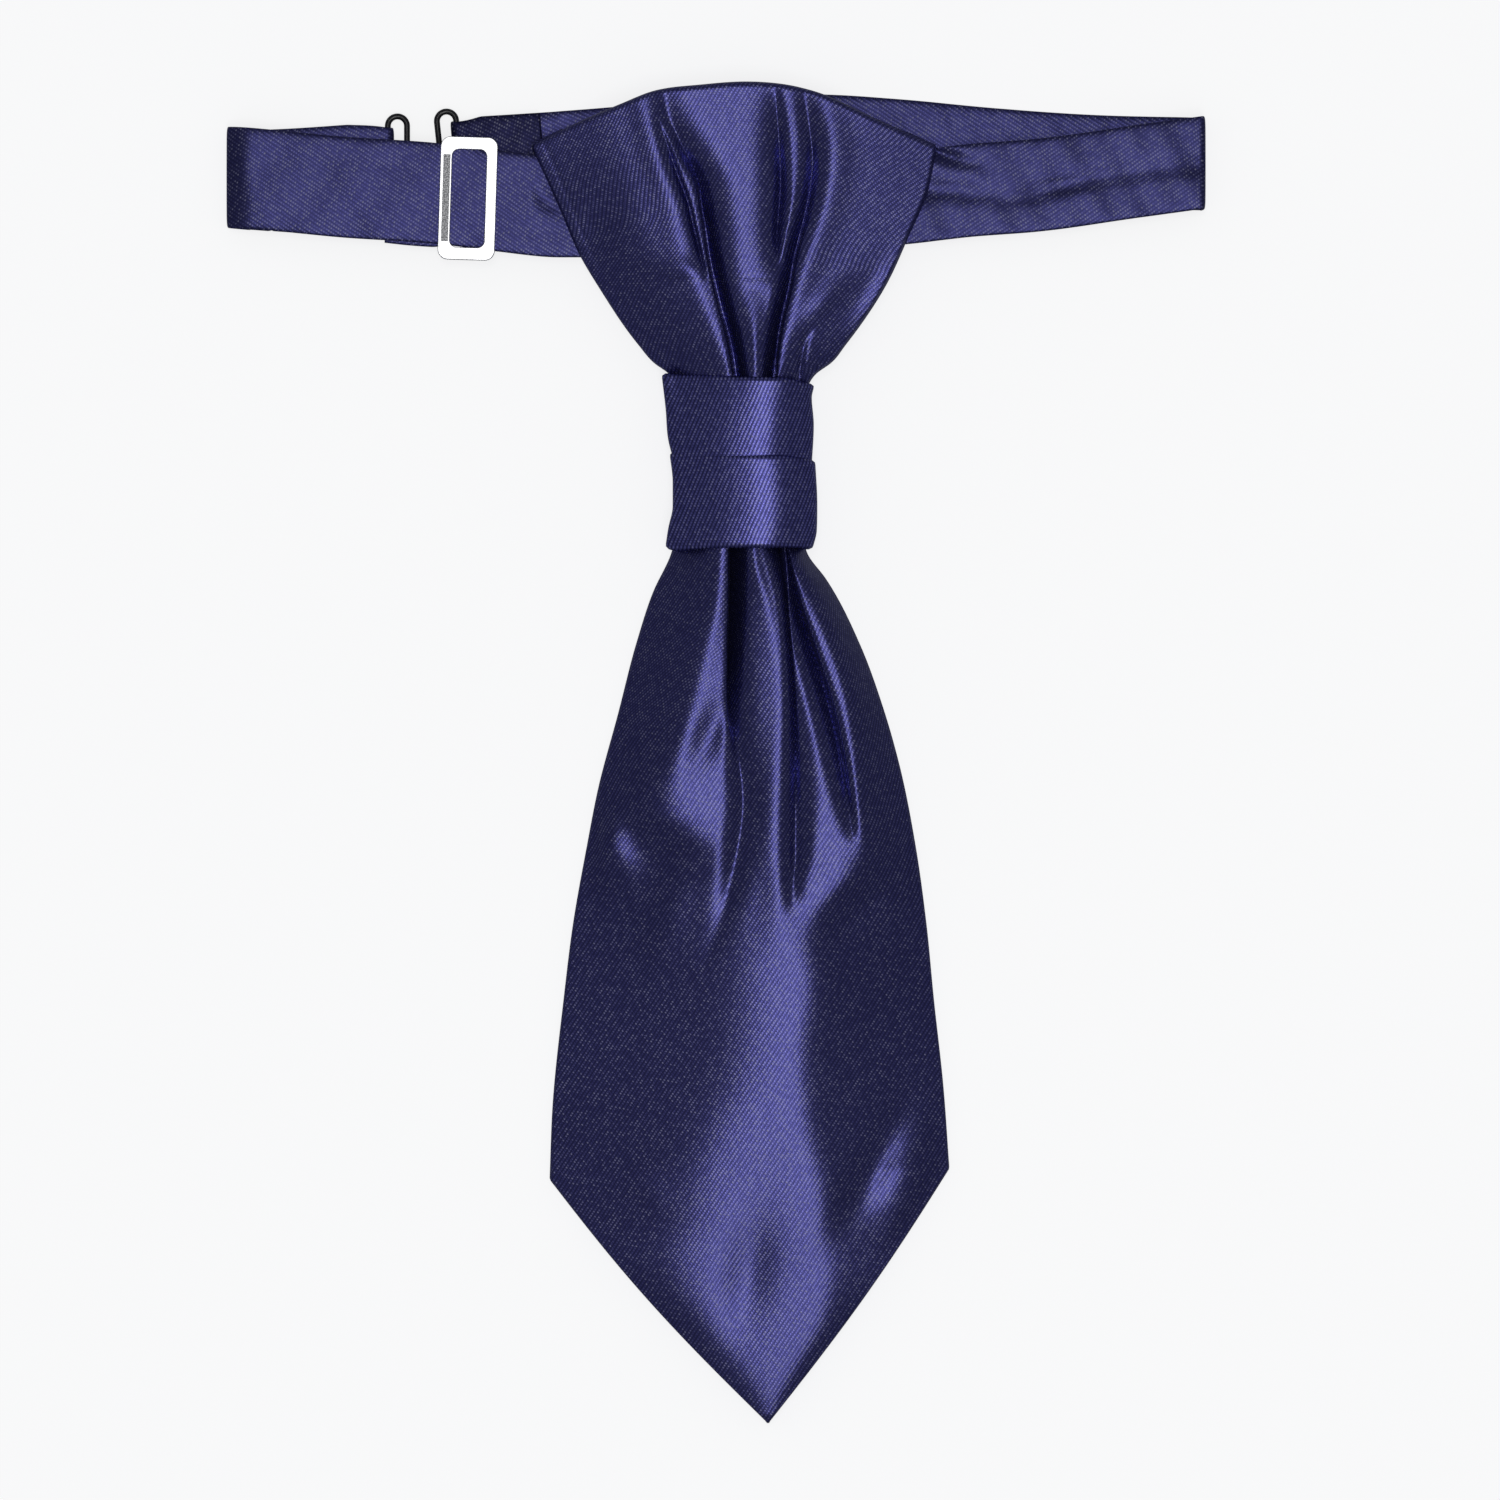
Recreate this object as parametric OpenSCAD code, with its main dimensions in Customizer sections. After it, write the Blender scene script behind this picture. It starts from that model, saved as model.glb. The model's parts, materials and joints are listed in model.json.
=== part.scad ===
// Pre-tied scarf necktie with an adjustable neck strap, lying face up with its straps folded flat.
// The origin is under the middle of the knot, on the surface that the tie lies on.
// +X is to the right, +Y towards the neck strap, +Z up, away from the surface.

/* [Knot] */
// Width of the knot band
knot_w = 29; // [24:0.5:36]
// Length of the knot band, along the tie
knot_l = 35; // [28:0.5:42]
// Thickness of the knot, front to back
knot_h = 14; // [13:0.5:18]
// Thickness of the folded satin of the knot band
band_t = 0.9; // [0.6:0.1:1.2]
// Height of the pleat between the two turns of the band, above the knot's middle
pleat_y = 1.7; // [0:0.1:4]

/* [Fan above the knot] */
// Width of the fan between its two upper corners
fan_w = 81; // [70:1:96]
// Height of the two upper corners above the knot
fan_corner_h = 45.5; // [40:0.5:52]
// Rise of the arched top edge above the corners
fan_rise = 12.8; // [8:0.2:16]
// Seam that closes the strap's casing, above the knot
casing_seam_h = 19; // [16:0.5:20]

/* [Blade below the knot] */
// Length of the blade from the knot to its two shoulders
blade_l = 125; // [100:1:150]
// Width of the blade at its shoulders
blade_w = 80.5; // [70:0.5:96]
// Length of the pointed tip below the shoulders
tip_l = 49.5; // [40:0.5:60]
// Sideways offset of the blade's middle
blade_shift = 1.7; // [0:0.1:3]
// Further sideways offset of the tip
tip_shift = 3.7; // [0:0.1:5]
// Fullness of the gathers where the blade leaves the knot
blade_crown = 9.6; // [6:0.2:10]

/* [Neck strap] */
// Width of the strap
strap_w = 19; // [15:0.5:23]
// Thickness of the strap, two walls of satin round a stiffening tape
strap_t = 0.6; // [0.5:0.05:0.75]
// Thickness of one satin wall of the strap
strap_wall = 0.15; // [0.1:0.05:0.2]
// Distance from the knot's middle to the outside of the left fold
left_reach = 103; // [90:1:125]
// Distance from the knot's middle to the outside of the right fold
right_reach = 93; // [85:1:112]
// Height of the strap's middle behind the fan
strap_y = 51; // [49:0.5:53]
// Slope of the front run left of the fan, in degrees
left_slope = 5; // [0:0.5:7]
// Slope of the front run right of the fan, in degrees
right_slope = 6.5; // [0:0.5:8]
// Slope of the back run right of the left fold, in degrees
left_back_slope = 4; // [0:0.5:6]

/* [Clasp and slider] */
// Diameter of the wire of the eye and the hook
wire_d = 1.2; // [0.9:0.1:1.4]
// Length of the turned-back strap end that is sewn behind the hook
hook_tail_l = 17; // [12:0.5:20]
// Distance from the knot's middle to the bar that holds the eye
eye_x = 70.8; // [68:0.1:76]
// Distance from the knot's middle to the bar that holds the hook
hook_x = 56.2; // [52:0.1:58]
// Width of the hook's tongue
tongue_w = 8; // [5:0.5:10]
// Distance from the knot's middle to the slider's middle
slider_x = 54.6; // [53:0.1:60]
// Width of the slider, along the strap
slider_w = 11.6; // [10.5:0.1:13]
// Width of the slider's side bars
slider_bar = 2.2; // [1.8:0.1:2.6]
// Thickness of the slider's plate
slider_t = 1; // [0.8:0.1:1.2]
// Length of the turned-back strap end that is sewn round the slider
slider_tail_l = 16.8; // [12:0.1:20]

/* [Hidden] */

navy = "#2d2d5c";
dark_navy = "#1d1d3d";
lining_navy = "#24244c";
tape_white = "#d8d6cf";
thread_navy = "#50508c";

touch = 0.05;         // clearance of a bar in a sewn loop, and of a tape in its strap
slip = 0.1;           // clearance of a piece that slides along the strap
apart = 0.3;          // clearance between layers that move apart
thread_d = 0.35;
stitch_pitch = 3;
sheet_t = 0.5;
pinch = 1;            // the strap narrows by this much on each side inside a wire loop
overlap = 0.4;        // bite of one solid into another where they are one piece

// Heights of the strap's layers, from the surface up
bar_gap = wire_d + 2 * touch;
back_in_z = strap_t + bar_gap;
wire_z = strap_t + bar_gap / 2;
front_in_z = back_in_z + strap_t + apart;
centre_bar_t = 0.8;
centre_bar_z = front_in_z + strap_t + touch;
tail_z = centre_bar_z + centre_bar_t + touch;
front_z = tail_z + strap_t + slip;
front_top = front_z + strap_t;
fold_r = front_top / 2;

// Places along the strap
bend_left = 36;
bend_right = 33;
bend_rise = 1.8;
left_axis_x = -(left_reach - fold_r);
right_axis_x = right_reach - fold_r;
fold_gap = 0.15;

// Layers of the fan
fan_lining_z = front_z - sheet_t - 2 * slip;
fan_pad_z = front_top + 2 * slip;
fan_pad_t = 0.6;
fan_shell_z = fan_pad_z + fan_pad_t + 2 * slip;
fan_crown = knot_h - 1.5 - fan_shell_z - sheet_t;
fan_foot_w = knot_w - 0.4;
fan_y0 = knot_l / 2;

// Layers of the blade
blade_gap = 0.6;      // the blade hangs from the knot with this gap, and turns about the knot's rim
blade_y0 = -knot_l / 2 - blade_gap;
blade_foot_w = knot_w - 1.6;
pad_z = sheet_t + 0.2;
pad_t = 1;
shell_z = pad_z + pad_t + 0.2;
blade_flare = 0.79;   // share of the blade's widening that is curved, the rest is straight
tip_bow = 7;          // the tip's edges bow out by a quarter of this

function along(a, b, t) = a + (b - a) * t;

// Middle of the front run at a given x left of the fan, and of the back run on the left
function left_run_y(x) = strap_y - (x + bend_left) * tan(left_slope);
function right_run_y(x) = strap_y + bend_rise + (x - bend_right) * tan(right_slope);
function left_back_y(x) = left_run_y(left_axis_x) + (x - left_axis_x) * tan(left_back_slope);

// Middle line of the back run on the right, from the hook's bar to the right fold
hook_y = strap_y + 8.9;
hook_lean = 6;
arch_x = 10;
arch_y = hook_y + 4.6;
hook_mid = [-hook_x, hook_y];
right_end_y = right_run_y(right_axis_x);
right_back_mid = [hook_mid, [arch_x, arch_y], [right_axis_x - fold_gap, right_end_y]];
// The point of that line a distance x to the right of the hook's bar
function right_back_start(x) = hook_mid + x * [1, (arch_y - hook_y) / (arch_x + hook_x)];

// Outline of a strap of width w about a middle line. lean turns its first end, in degrees.
function strap_outline(mid, w, lean = 0) = concat(
    [for (i = [0 : len(mid) - 1]) mid[i] + (w / 2) * (i == 0 ? [-sin(lean), cos(lean)] : [0, 1])],
    [for (i = [len(mid) - 1 : -1 : 0]) mid[i] - (w / 2) * (i == 0 ? [-sin(lean), cos(lean)] : [0, 1])]
);

module flat_strap(mid, z, w = strap_w, t = strap_t, lean = 0) {
    translate([0, 0, z]) linear_extrude(t) polygon(strap_outline(mid, w, lean));
}

// The room inside a strap for its tape, open at both ends of the middle line
module strap_room(mid, z, lean = 0) {
    flat_strap(mid, z + strap_wall, strap_w - 6 * strap_wall, strap_t - 2 * strap_wall, lean);
}

module strap_tape(mid, z, lean = 0) {
    tape_t = strap_t - 2 * strap_wall - touch;
    flat_strap(mid, z + strap_wall + touch / 2, strap_w - 6 * strap_wall - 2 * touch, tape_t, lean);
}

// Half of a tube about the Y axis, open towards +X: the turn of a fold. y0 to y1 is its width.
module half_turn(outer, inner, y0, y1) {
    translate([0, y1, 0]) rotate([90, 0, 0]) linear_extrude(y1 - y0) difference() {
        circle(outer, $fn = 48);
        circle(inner, $fn = 48);
        translate([0, -2 * outer]) square([2 * outer, 4 * outer]);
    }
}

module thread_along_y(l, d = thread_d) {
    translate([0, -l / 2, 0]) rotate([-90, 0, 0]) cylinder(h = l, d = d, $fn = 16);
}

module thread_along_x(l, d = thread_d) {
    translate([-l / 2, 0, 0]) rotate([0, 90, 0]) cylinder(h = l, d = d, $fn = 16);
}

// ---------------------------------------------------------------- the neck strap

front_mid = [
    [left_axis_x + fold_gap, left_run_y(left_axis_x + fold_gap)],
    [-bend_left, strap_y],
    [bend_right, strap_y + bend_rise],
    [right_axis_x - fold_gap, right_run_y(right_axis_x - fold_gap)]
];
// The same middle line run past both ends, to cut the tape's room out of the strap
front_room_mid = [
    front_mid[0] - [1, -tan(left_slope)], front_mid[1], front_mid[2], front_mid[3] + [1, tan(right_slope)]
];

module front_strap() {
    color(navy) difference() {
        flat_strap(front_mid, front_z);
        strap_room(front_room_mid, front_z);
    }
}

module front_strap_tape() {
    color(tape_white) strap_tape(front_mid, front_z);
}

slider_arm_l = slider_tail_l - 5;
inner_end_x = -slider_x - slider_arm_l - 1;
inner_fold_r = (front_in_z + strap_t - back_in_z) / 2;
inner_axis_x = left_axis_x + 1.2;     // the inner layer turns a little short of the outer one

module inner_strap_front() {
    start_x = inner_axis_x + fold_gap;
    mid = [[start_x, left_run_y(start_x)], [inner_end_x, left_run_y(inner_end_x)]];
    color(dark_navy) flat_strap(mid, front_in_z, strap_w - pinch);
}

module left_fold() {
    y = left_run_y(left_axis_x);
    color(navy) translate([left_axis_x, y, fold_r])
        half_turn(fold_r, fold_r - strap_t, -strap_w / 2, strap_w / 2);
}

module left_inner_fold() {
    y = left_run_y(inner_axis_x);
    half_w = (strap_w - pinch) / 2;
    color(dark_navy) translate([inner_axis_x, y, back_in_z + inner_fold_r])
        half_turn(inner_fold_r, inner_fold_r - strap_t, -half_w, half_w);
}

module right_fold() {
    color(navy) translate([right_axis_x, right_end_y, fold_r]) mirror([1, 0, 0])
        half_turn(fold_r, fold_r - strap_t, -strap_w / 2, strap_w / 2);
}

// ---------------------------------------------------------------- the fan above the knot

function fan_half(t) = along(fan_foot_w / 2, fan_w / 2, pow(t, 0.65));
function fan_rise_at(s) = fan_rise * (1 - pow(abs(s), 1.6));

// Outline of the fan, taken in from its edge. Only its top is arched.
function fan_outline(inset) = concat(
    [for (t = [0 : 0.1 : 1]) [-fan_half(t) + inset, fan_y0 + t * (fan_corner_h - inset)]],
    [for (s = [-0.9 : 0.1 : 0.9]) [s * (fan_w / 2 - inset), fan_y0 + fan_corner_h - inset + fan_rise_at(s)]],
    [for (t = [1 : -0.1 : 0]) [fan_half(t) - inset, fan_y0 + t * (fan_corner_h - inset)]]
);

// A sheet over a grid of points: rows of points along +X, from the first row to the last along +Y
module sheet_over(rows, thickness) {
    n = len(rows[0]);
    m = len(rows);
    top = [for (r = rows) for (p = r) p];
    bottom = [for (p = top) p - [0, 0, thickness]];
    count = n * m;
    cells = [for (i = [0 : m - 2]) for (j = [0 : n - 2]) let (a = i * n + j, b = a + n)
        [a, a + 1, b + 1, b]];
    over = [for (c = cells) each [[c[2], c[1], c[0]], [c[3], c[2], c[0]]]];
    under = [for (f = over) [f[2] + count, f[1] + count, f[0] + count]];
    rim = concat(
        [for (j = [0 : n - 1]) j],
        [for (i = [1 : m - 1]) i * n + n - 1],
        [for (j = [n - 2 : -1 : 0]) (m - 1) * n + j],
        [for (i = [m - 2 : -1 : 1]) i * n]
    );
    k = len(rim);
    side = [for (i = [0 : k - 1]) let (a = rim[i], b = rim[(i + 1) % k])
        each [[a, b, b + count], [a, b + count, a + count]]];
    polyhedron(concat(top, bottom), concat(over, under, side));
}

module fan_front() {
    columns = 14;
    rows = 12;
    points = [for (i = [0 : rows]) let (t = i / rows) [for (j = [0 : columns]) let (s = 2 * j / columns - 1) [
        s * fan_half(t),
        fan_y0 + t * (fan_corner_h + fan_rise_at(s)),
        fan_shell_z + sheet_t + along(fan_crown, 1, pow(t, 0.7)) * (1 - pow(abs(s), 2.2))
    ]]];
    color(navy) sheet_over(points, sheet_t);
}

module fan_interlining() {
    color(tape_white) translate([0, 0, fan_pad_z]) linear_extrude(fan_pad_t) polygon(fan_outline(2));
}

module fan_back() {
    color(navy) translate([0, 0, fan_lining_z]) linear_extrude(sheet_t) polygon(fan_outline(0.8));
}

module casing_stitches() {
    seam_y = fan_y0 + casing_seam_h;
    first_z = fan_lining_z + sheet_t;
    color(thread_navy) for (x = [-24 : stitch_pitch : 24])
        translate([x, seam_y, first_z]) cylinder(h = fan_pad_z - first_z, d = thread_d, $fn = 16);
}

// ---------------------------------------------------------------- the knot

// Cross-section of the knot: a flat-sided oval of width w and height h about the knot's middle
module knot_section(w, h) {
    translate([0, knot_h / 2]) {
        square([w - h, h], center = true);
        for (side = [-1, 1]) translate([side * (w - h) / 2, 0]) circle(h / 2, $fn = 64);
    }
}

// Extrudes a cross-section drawn in X and Z along the tie, from y0 to y1
module along_tie(y0, y1) {
    translate([0, y1, 0]) rotate([90, 0, 0]) linear_extrude(y1 - y0) children();
}

neck_slack = 0.55;    // room between the gathered neck and the band, where the binding thread lies
neck_w = knot_w - 2 * (band_t + neck_slack);
neck_h = knot_h - 2 * (band_t + neck_slack);
binding_w = 3;

module gathered_neck() {
    color(dark_navy) along_tie(-knot_l / 2, knot_l / 2) knot_section(neck_w, neck_h);
}

module neck_binding() {
    thick = neck_slack - 2 * touch;
    color(tape_white) along_tie(-binding_w / 2, binding_w / 2) difference() {
        knot_section(neck_w + 2 * (touch + thick), neck_h + 2 * (touch + thick));
        knot_section(neck_w + 2 * touch, neck_h + 2 * touch);
    }
}

seam_x = -6;
seam_w = 1;

// One turn of the band round the neck, with a slit at the back where its two ends are sewn together
module band_turn(y0, y1, w) {
    along_tie(y0, y1) difference() {
        knot_section(w, knot_h);
        knot_section(w - 2 * band_t, knot_h - 2 * band_t);
        translate([seam_x - seam_w / 2, -1]) square([seam_w, band_t + 2]);
    }
}

module knot_band_upper() {
    color(navy) band_turn(pleat_y, knot_l / 2, knot_w);
}

module knot_band_lower() {
    color(navy) band_turn(-knot_l / 2, pleat_y, knot_w + 0.6);
}

module knot_seam_stitches() {
    color(thread_navy) for (y = [-knot_l / 2 + 2 : stitch_pitch : knot_l / 2 - 2])
        if (abs(y - pleat_y) > thread_d)
            translate([seam_x, y, band_t / 2]) thread_along_x(seam_w);
}

// ---------------------------------------------------------------- the blade below the knot

// Half the blade's width at a share t of the way from the knot to the shoulders
function blade_half(t) = let (grow = (blade_w - blade_foot_w) / 2)
    blade_foot_w / 2 + grow * (blade_flare * sin(90 * pow(t, 0.75)) + (1 - blade_flare) * t);
// The same, at a share s of the way from the shoulders to the tip, a little bowed
function tip_half(s) = blade_w / 2 * (1 - s) + tip_bow * s * (1 - s);
function blade_mid(t) = blade_shift * sin(90 * min(1, 3 * t));

// Left and right edge points, from the knot down to just above the tip
function blade_edge(side, inset) = concat(
    [for (t = [0 : 0.1 : 1]) [blade_mid(t) + side * (blade_half(t) - inset), blade_y0 - t * blade_l]],
    [for (s = [0.125 : 0.125 : 0.875]) [
        blade_shift + tip_shift * s + side * max(0.3, tip_half(s) - inset),
        blade_y0 - blade_l - s * (tip_l - inset)
    ]]
);
function backwards(list) = [for (i = [len(list) - 1 : -1 : 0]) list[i]];
function blade_tip(inset) = [blade_shift + tip_shift, blade_y0 - blade_l - tip_l + inset];
function blade_outline(inset) = concat(
    blade_edge(-1, inset), [blade_tip(inset)], backwards(blade_edge(1, inset))
);

module blade_front() {
    columns = 12;
    left = blade_edge(-1, 0);
    right = blade_edge(1, 0);
    tip_row_half = 0.3;
    tip = blade_tip(0);
    rows = concat([[tip - [tip_row_half, 0], tip + [tip_row_half, 0]]],
        [for (i = [len(left) - 1 : -1 : 0]) [left[i], right[i]]]);
    points = [for (r = rows) let (t = (blade_y0 - r[0].y) / blade_l) [for (j = [0 : columns])
        let (s = 2 * j / columns - 1, crown = along(blade_crown, 2, sin(90 * min(1, t)))) [
            along(r[0].x, r[1].x, j / columns),
            r[0].y,
            shell_z + sheet_t + crown * (1 - pow(abs(s), 2.2)) * min(1, (r[1].x - r[0].x) / 20)
        ]]];
    color(navy) sheet_over(points, sheet_t);
}

module blade_interlining() {
    color(tape_white) translate([0, 0, pad_z]) linear_extrude(pad_t) polygon(blade_outline(3));
}

module blade_lining() {
    color(lining_navy) linear_extrude(sheet_t) polygon(blade_outline(1.5));
}

// Slip stitches that close the lining's edge to the turned hem of the front
module blade_lining_stitches() {
    edge_t = [0.1 : 0.05 : 0.95];
    color(thread_navy) for (side = [-1, 1]) for (t = edge_t)
        translate([blade_mid(t) + side * (blade_half(t) - 2), blade_y0 - t * blade_l, sheet_t])
            cylinder(h = shell_z - sheet_t, d = thread_d, $fn = 16);
}

// ---------------------------------------------------------------- slider

slider_l = strap_w + 2 * (0.3 + 2.7);
window_l = strap_w + 2 * 0.4;
post_w = 1.2;
post_inset = 0.6;

module rounded_plate(w, l, r) {
    square([w - 2 * r, l], center = true);
    square([w, l - 2 * r], center = true);
    for (x = [-1, 1]) for (y = [-1, 1])
        translate([x * (w / 2 - r), y * (l / 2 - r)]) circle(r, $fn = 32);
}

// Local frame of the slider: +x along the strap towards the fan
module at_slider() {
    translate([-slider_x, left_run_y(-slider_x), 0]) rotate(-left_slope) children();
}

plate_z = front_top + slip;
bar_w = 2;

module slider() {
    color("#e4e4e6") at_slider() {
        translate([0, 0, plate_z]) linear_extrude(slider_t) difference() {
            rounded_plate(slider_w, slider_l, 1.8);
            rounded_plate(slider_w - 2 * slider_bar, window_l, 1.4);
        }
        // the middle bar has round edges and is cranked down under the strap
        bar_l = slider_l - 2 * post_inset;
        translate([0, bar_l / 2, centre_bar_z + centre_bar_t / 2]) rotate([90, 0, 0]) linear_extrude(bar_l) {
            square([bar_w - centre_bar_t, centre_bar_t], center = true);
            for (side = [-1, 1]) translate([side * (bar_w - centre_bar_t) / 2, 0])
                circle(centre_bar_t / 2, $fn = 24);
        }
        for (side = [-1, 1])
            translate([-bar_w / 2, side * (bar_l - post_w) / 2 - post_w / 2, centre_bar_z + centre_bar_t / 2])
                cube([bar_w, post_w, plate_z - centre_bar_z]);
    }
}

loop_w = strap_w - 2 * pinch;

// The strap's inner end, turned round the slider's middle bar and sewn to itself
module slider_strap_end() {
    inner_r = (tail_z - front_in_z - strap_t) / 2;
    turn_x = (bar_w - centre_bar_t) / 2;
    color(dark_navy) at_slider() {
        translate([-slider_tail_l, -loop_w / 2, tail_z]) cube([slider_tail_l + turn_x, loop_w, strap_t]);
        translate([-slider_arm_l, -loop_w / 2, front_in_z]) cube([slider_arm_l + turn_x, loop_w, strap_t]);
        translate([turn_x, 0, front_in_z + strap_t + inner_r]) mirror([1, 0, 0])
            half_turn(inner_r + strap_t, inner_r, -loop_w / 2, loop_w / 2);
    }
}

module slider_stitches() {
    row_x = -bar_w / 2 - 2.5;
    gap = tail_z - front_in_z - strap_t;
    color(thread_navy) at_slider() for (y = [-loop_w / 2 + 1.5 : stitch_pitch : loop_w / 2 - 1])
        translate([row_x, y, front_in_z + strap_t]) cylinder(h = gap, d = thread_d, $fn = 16);
}

// ---------------------------------------------------------------- left back strap and eye

left_start_x = left_axis_x + fold_gap;
left_turn_y = left_back_y(-eye_x);
turn_r = bar_gap / 2;

// The outer run, the turn round the eye's bar and the inner run are one strap
module left_back_strap() {
    neck_x = -eye_x - 3;
    outer_mid = [[left_start_x, left_back_y(left_start_x)], [neck_x, left_back_y(neck_x)]];
    inner_start_x = inner_axis_x + fold_gap;
    inner_mid = [[inner_start_x, left_back_y(inner_start_x)], [neck_x, left_back_y(neck_x)]];
    end_mid = [[neck_x - overlap, left_turn_y], [-eye_x, left_turn_y]];
    room_mid = [for (x = [left_start_x - 1, neck_x - 1]) [x, left_back_y(x)]];
    color(navy) difference() {
        union() {
            flat_strap(outer_mid, 0);
            flat_strap(inner_mid, back_in_z, strap_w - pinch);
            for (z = [0, back_in_z]) flat_strap(end_mid, z, loop_w);
            translate([-eye_x, left_turn_y, wire_z]) mirror([1, 0, 0])
                half_turn(turn_r + strap_t, turn_r, -loop_w / 2, loop_w / 2);
        }
        strap_room(room_mid, 0);
    }
}

module left_back_strap_tape() {
    end_x = -eye_x - 5;
    mid = [[left_start_x, left_back_y(left_start_x)], [end_x, left_back_y(end_x)]];
    color(tape_white) strap_tape(mid, 0);
}

// A wire loop with two straight bars and round ends. Its first bar is on the Y axis, the other at x.
module wire_loop(x) {
    bend_r = abs(x) / 2;
    bar_l = loop_w + 2 * apart;
    for (bar = [0, x]) translate([bar, 0, 0]) thread_along_y(bar_l, wire_d);
    for (side = [-1, 1]) translate([x / 2, side * bar_l / 2, 0]) rotate(side > 0 ? 0 : 180)
        rotate_extrude(angle = 180, $fn = 48) translate([bend_r, 0]) circle(wire_d / 2, $fn = 24);
}

loop_reach = wire_d + 2.65;

module eye() {
    color("#101014") translate([-eye_x, left_turn_y, wire_z]) wire_loop(loop_reach);
}

// ---------------------------------------------------------------- right back strap and hook

// Local frame of the hook's bar: +y along the bar, -x towards the tongue
module at_hook() {
    translate([-hook_x, hook_y, 0]) rotate(hook_lean) children();
}

module right_back_strap() {
    widen_x = 3;
    wide_mid = [right_back_start(widen_x - overlap), right_back_mid[1], right_back_mid[2]];
    past_end = right_back_mid[2] + (right_back_mid[2] - right_back_mid[1]) / 50;
    room_mid = [right_back_start(widen_x + 2), right_back_mid[1], past_end];
    color(navy) {
        difference() {
            flat_strap(wide_mid, 0, strap_w, strap_t, hook_lean);
            strap_room(room_mid, 0);
        }
        at_hook() {
            translate([0, -loop_w / 2, 0]) cube([widen_x + 0.5, loop_w, strap_t]);
            translate([0, -loop_w / 2, back_in_z]) cube([hook_tail_l, loop_w, strap_t]);
            translate([0, 0, wire_z]) half_turn(turn_r + strap_t, turn_r, -loop_w / 2, loop_w / 2);
        }
    }
}

module right_back_strap_tape() {
    color(tape_white) strap_tape([right_back_start(6), right_back_mid[1], right_back_mid[2]], 0);
}

// Two rows of stitches hold the turned-back end to the strap
module hook_stitches() {
    color(thread_navy) at_hook() for (row = [1, 3.2]) for (y = [-loop_w / 2 + 1 : 1.6 : loop_w / 2 - 1])
        translate([hook_tail_l - row, y, strap_t]) cylinder(h = bar_gap, d = thread_d, $fn = 16);
}

// A wire loop whose far bar carries a tongue, bent under so that it catches the eye
module hook() {
    plate_t = 0.5;
    inside_r = wire_d / 2 + touch;
    outside_r = inside_r + plate_t;
    reach = 2.8;
    lip = reach - wire_d / 2 - bar_gap;
    color("#101014") at_hook() translate([0, 0, wire_z]) {
        wire_loop(-loop_reach);
        translate([-loop_reach, 0, 0]) {
            translate([-reach, -tongue_w / 2, inside_r]) cube([reach + wire_d / 2, tongue_w, plate_t]);
            translate([-wire_d / 4, -tongue_w / 2, 0]) cube([wire_d / 2, tongue_w, inside_r + overlap / 2]);
            translate([-reach, 0, 0]) half_turn(outside_r, inside_r, -tongue_w / 2, tongue_w / 2);
            translate([-reach, -tongue_w / 2, -outside_r]) cube([lip, tongue_w, plate_t]);
        }
    }
}

front_strap();
front_strap_tape();
inner_strap_front();
left_fold();
left_inner_fold();
right_fold();
fan_front();
fan_interlining();
fan_back();
casing_stitches();
gathered_neck();
neck_binding();
knot_band_upper();
knot_band_lower();
knot_seam_stitches();
blade_front();
blade_interlining();
blade_lining();
blade_lining_stitches();
slider();
slider_strap_end();
slider_stitches();
left_back_strap();
left_back_strap_tape();
eye();
right_back_strap();
right_back_strap_tape();
hook_stitches();
hook();
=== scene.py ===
# %% [markdown]
# # A pre-tied satin necktie, built as cloth over a fixed frame
# The tie is a fan of pleated satin, a knot band of two turns, a broad blade and a neck strap
# that a slider and a hook-and-eye clasp adjust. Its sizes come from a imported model, which is
# loaded first and never changed. Each cloth piece is then laid over it as a sheet of its own.

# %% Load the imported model
import json
import math
import bmesh
import bpy
import numpy as np
from mathutils import Matrix, Vector

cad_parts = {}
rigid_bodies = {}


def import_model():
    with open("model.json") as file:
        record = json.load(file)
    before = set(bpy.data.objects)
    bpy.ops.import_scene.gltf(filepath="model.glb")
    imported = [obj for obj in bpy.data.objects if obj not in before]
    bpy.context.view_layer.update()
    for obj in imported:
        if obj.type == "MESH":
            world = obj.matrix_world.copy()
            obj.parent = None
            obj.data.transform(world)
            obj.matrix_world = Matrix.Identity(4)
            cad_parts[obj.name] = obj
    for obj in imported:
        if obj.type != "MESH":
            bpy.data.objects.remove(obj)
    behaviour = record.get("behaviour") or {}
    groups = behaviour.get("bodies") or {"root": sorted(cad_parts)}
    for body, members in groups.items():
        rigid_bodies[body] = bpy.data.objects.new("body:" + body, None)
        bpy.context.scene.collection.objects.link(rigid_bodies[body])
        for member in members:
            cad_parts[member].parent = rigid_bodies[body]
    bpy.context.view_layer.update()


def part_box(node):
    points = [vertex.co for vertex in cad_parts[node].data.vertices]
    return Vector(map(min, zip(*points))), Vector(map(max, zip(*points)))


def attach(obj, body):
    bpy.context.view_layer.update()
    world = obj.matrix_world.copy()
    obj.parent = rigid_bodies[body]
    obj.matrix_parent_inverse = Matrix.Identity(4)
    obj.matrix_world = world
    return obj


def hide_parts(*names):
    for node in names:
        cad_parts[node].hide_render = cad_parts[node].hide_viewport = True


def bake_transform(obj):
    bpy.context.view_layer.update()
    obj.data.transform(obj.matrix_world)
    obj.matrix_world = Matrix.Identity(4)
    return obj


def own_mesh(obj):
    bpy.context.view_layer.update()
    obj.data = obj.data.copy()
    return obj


for old in list(bpy.data.objects):
    bpy.data.objects.remove(old, do_unlink=True)
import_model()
MM = 0.001


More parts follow.
